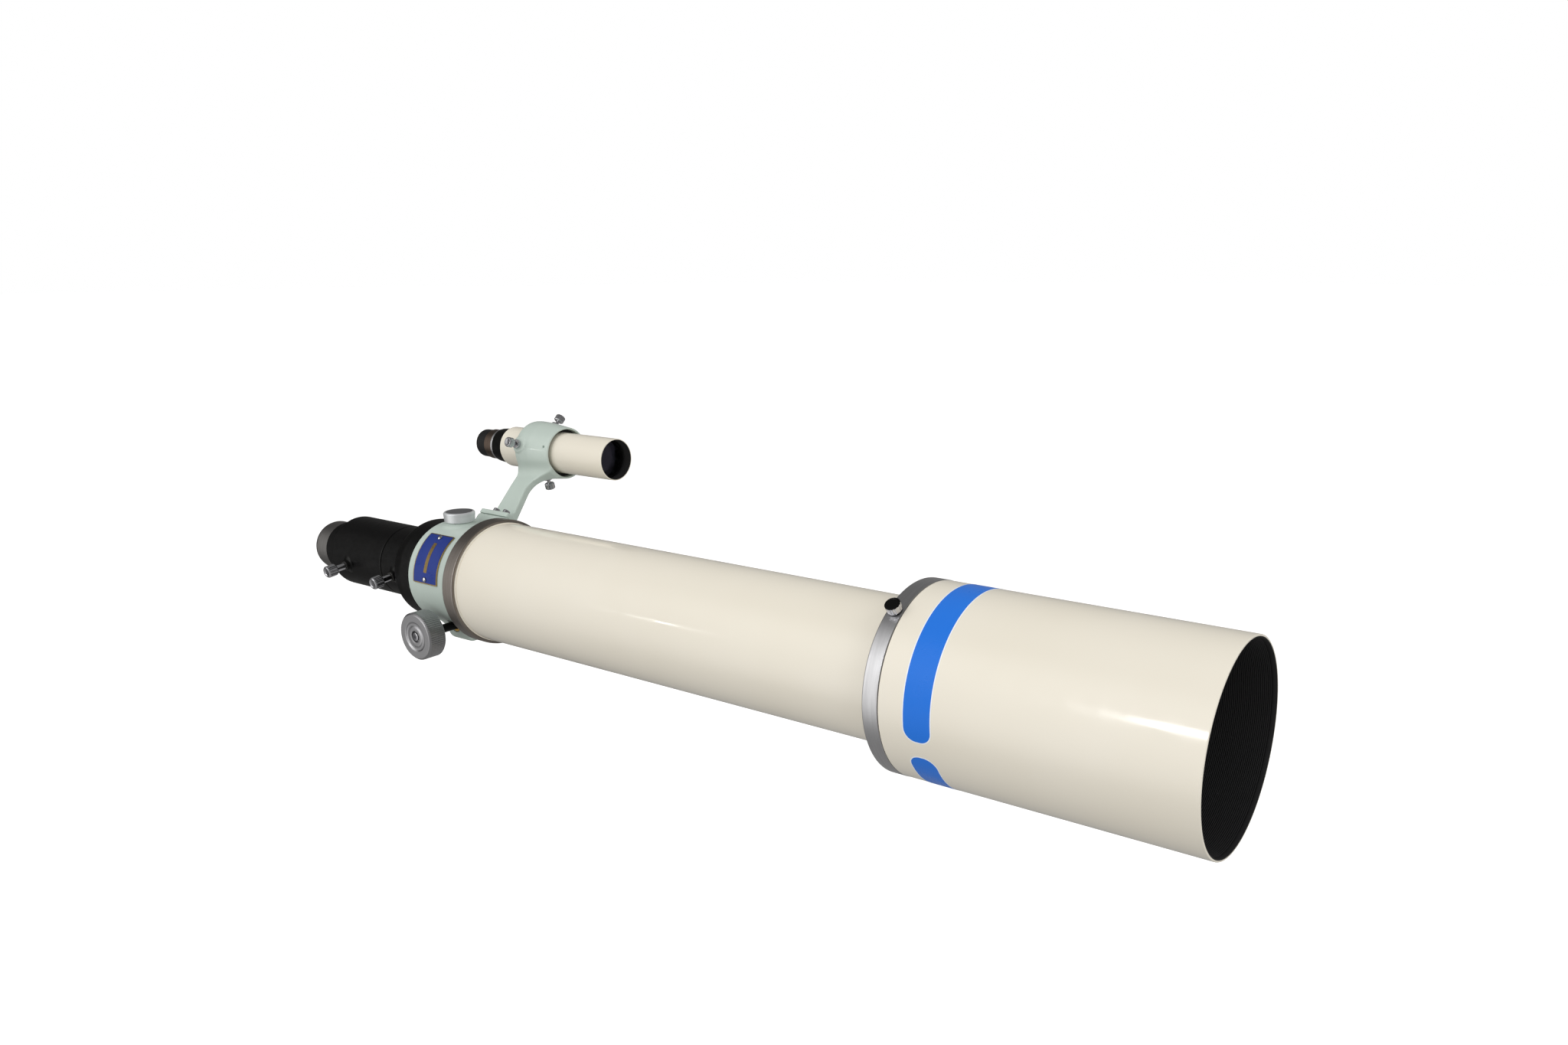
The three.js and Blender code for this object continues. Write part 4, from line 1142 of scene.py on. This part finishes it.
def finder_eyepiece():
    x0, x1 = ends("finder_eyepiece_tube")
    joint, spigot, spigot_bore, bore = FINDER_REAR - GAP, 15.5, 13.4, 10.5
    piece("finder_eyepiece_tube", around_finder([
        (x0, bore), (x0, 14.4, 0.5), (x0 + 7, 15.1, 8), (joint, 15.8, 0.3), (joint, spigot),
        (x1, spigot, 0.2), (x1, spigot_bore), (joint - 0.1, spigot_bore), (joint - 0.1, bore),
    ]), BLACK)
    piece("finder_reticle", around_finder(section(*ends("finder_reticle"), 0, 13, 0.15)), GLASS)
    ring = section(*ends("finder_focus_ring"), bore, 13.7, 0.6)
    piece("finder_focus_ring", around_finder(ring), SILVER)
    x0, x1 = ends("finder_eye_barrel")
    cup_rear, cup_front = ends("finder_eyecup")
    shoulder, seat, cup_bore, eye_hole = cup_front + GAP, cup_front - 4.6, 11.2, 7.6
    piece("finder_eye_barrel", around_finder([
        (x0, 9.9), (x0, 10.9), (shoulder, 10.9), (shoulder, 12.9, 0.3), (x1, 12.9, 0.4), (x1, 9.9),
    ]), BRONZE)
    piece("finder_eyecup", around_finder([
        (cup_rear, eye_hole, 0.4), (cup_rear, 12, 1.4), (cup_front, 12.2, 0.5),
        (cup_front, cup_bore), (seat, cup_bore), (seat, eye_hole),
    ]), RUBBER)


# ---------------------------------------------------------------- studio
CAMERA_AT = Vector((0.5764, -0.5976, 0.2583))
CAMERA_AZIMUTH, CAMERA_ELEVATION, CAMERA_ROLL = 34.14, 16.06, -0.17
FLOOR_Z = -0.34
FLOOR_GLOW = 0.45
ROOM_LIGHT = (0.5, 0.72)
ROOM_REFLECTED = (0.33, 0.19)
GLOW_FROM, GLOW_SPREAD, GLOW_STRENGTH = Vector((-0.45, -0.85, 0.2)).normalized(), (0.55, 0.98), 1.5
GLOW_END = (-0.85, -0.55)  # the glow fades out between these two lengthwise directions
ROOM_END, BEHIND = (-0.92, -0.6), 0.25  # and so does the room, down to this share


def camera():
    data = bpy.data.cameras.new("camera")
    data.sensor_width, data.lens = 36, 27.6
    data.shift_x, data.shift_y = -0.0656, 0.0443
    data.clip_start, data.clip_end = 0.01, 100
    made = placed("camera", data)
    a, e, roll = (math.radians(v) for v in (CAMERA_AZIMUTH, CAMERA_ELEVATION, CAMERA_ROLL))
    back = Vector((math.sin(a) * math.cos(e), -math.cos(a) * math.cos(e), math.sin(e)))
    right = Vector((math.cos(a), math.sin(a), 0))
    up = back.cross(right)
    tilted = right * math.cos(roll) + up * math.sin(roll)
    matrix = Matrix((tilted, back.cross(tilted), back)).transposed().to_4x4()
    matrix.translation = CAMERA_AT
    made.matrix_world = matrix
    bpy.context.scene.camera = made


def lamp(name, at, target, size, watts, mirrored=True):
    data = bpy.data.lights.new(name, "AREA")
    data.shape, data.size, data.size_y = "RECTANGLE", size[0], size[1]
    data.energy = watts
    made = placed(name, data)
    made.location = at
    made.visible_glossy = mirrored
    made.rotation_mode = "QUATERNION"
    made.rotation_quaternion = (Vector(target) - Vector(at)).to_track_quat("-Z", "Y")


def ramp(nodes, links, value, start, end, low, high):
    made = nodes.new("ShaderNodeMapRange")
    made.interpolation_type = "SMOOTHSTEP"
    setting(made, From_Min=start, From_Max=end, To_Min=low, To_Max=high)
    links.new(value, made.inputs["Value"])
    return made.outputs["Result"]


def worked(nodes, links, operation, *values):
    made = nodes.new("ShaderNodeMath")
    made.operation = operation
    for socket, value in zip(made.inputs, values):
        links.new(value, socket)
    return made.outputs["Value"]


def graded(nodes, links, below, above, behind=1.0, glow=0.0):
    """A grey background from `below` underfoot to `above` overhead.

    It falls to the share `behind` at the rear and has a soft glow on one side.
    """
    towards = nodes.new("ShaderNodeTexCoord").outputs["Generated"]
    height, facing = nodes.new("ShaderNodeSeparateXYZ"), nodes.new("ShaderNodeVectorMath")
    facing.operation = "DOT_PRODUCT"
    facing.inputs[1].default_value = GLOW_FROM
    links.new(towards, height.inputs["Vector"])
    links.new(towards, facing.inputs[0])
    rise = ramp(nodes, links, height.outputs["Z"], -0.7, 0.7, below, above)
    room = ramp(nodes, links, height.outputs["X"], *ROOM_END, behind, 1)
    spot = ramp(nodes, links, facing.outputs["Value"], *GLOW_SPREAD, 0, glow)
    reach = ramp(nodes, links, height.outputs["X"], *GLOW_END, 0, 1)
    plain = worked(nodes, links, "MULTIPLY", rise, room)
    total = worked(nodes, links, "MULTIPLY_ADD", spot, reach, plain)
    made = setting(nodes.new("ShaderNodeBackground"), Color=(1, 0.99, 0.975, 1))
    links.new(total, made.inputs["Strength"])
    return made.outputs["Background"]


def world():
    """A plain white studio that lights evenly, with a darker room in the reflections."""
    made = bpy.data.worlds.new("studio")
    made.use_nodes = True
    bpy.context.scene.world = made
    nodes, links = made.node_tree.nodes, made.node_tree.links
    path = nodes.new("ShaderNodeLightPath")
    mirrored = nodes.new("ShaderNodeMixShader")
    links.new(path.outputs["Is Glossy Ray"], mirrored.inputs["Fac"])
    links.new(graded(nodes, links, *ROOM_LIGHT), mirrored.inputs[1])
    links.new(graded(nodes, links, *ROOM_REFLECTED, BEHIND, GLOW_STRENGTH), mirrored.inputs[2])
    looked_at = nodes.new("ShaderNodeMixShader")
    links.new(path.outputs["Is Camera Ray"], looked_at.inputs["Fac"])
    links.new(mirrored.outputs["Shader"], looked_at.inputs[1])
    links.new(nodes["Background"].outputs["Background"], looked_at.inputs[2])
    setting(nodes["Background"], Color=(1, 1, 1, 1))
    links.new(looked_at.outputs["Shader"], nodes["World Output"].inputs["Surface"])


def floor():
    """A pale table that takes light and shadow but throws none back up at the object."""
    finish = Finish("studio_floor", (0.85, 0.85, 0.85, 1), 0.9, specular=0.05)
    setting(finish.shader, Emission_Color=(1, 1, 1, 1), Emission_Strength=FLOOR_GLOW)
    finish.gloss(finish.noise(300, 2), 0.85, 0.95)
    top, thick, size = FLOOR_Z / MM, 10, 20000
    made = new_object("studio_floor", lathe(section(top - thick, top, 0, size), 96))
    made.data.materials.append(finish.material)
    made.visible_diffuse = False
    made.visible_glossy = False
    made.visible_transmission = False


def studio():
    camera()
    world()
    floor()
    lamp("key", (-0.28, -1.9, 0.98), (0.2, 0, 0), (0.13, 0.2), 4)
    lamp("front", (-0.9, -2.1, 1.5), (0, 0, 0), (3.0, 2.0), 20, mirrored=False)
    lamp("fill", (2.2, -0.5, 0.7), (0.1, 0, 0), (1.6, 1.6), 12, mirrored=False)
    lamp("glint", (-1.68, -1.82, 0.48), (0, 0, 0), (0.05, 0.05), 0.35)
    bpy.context.scene.view_settings.view_transform = "Standard"


main_tube()
dew_shield()
dew_shield_ring()
objective()
focuser_housing()
nameplate()
lock_knob()
guides()
drawtube()
extension_tube()
eyepiece_holder()
clamp_screws()
adapter()
collar()
pinion()
finder_bracket()
bracket_bolts()
adjusting_screws()
pivot_ring()
finder_tube()
finder_lenses()
finder_eyepiece()
focus_rack()
studio()

bpy.context.view_layer.update()
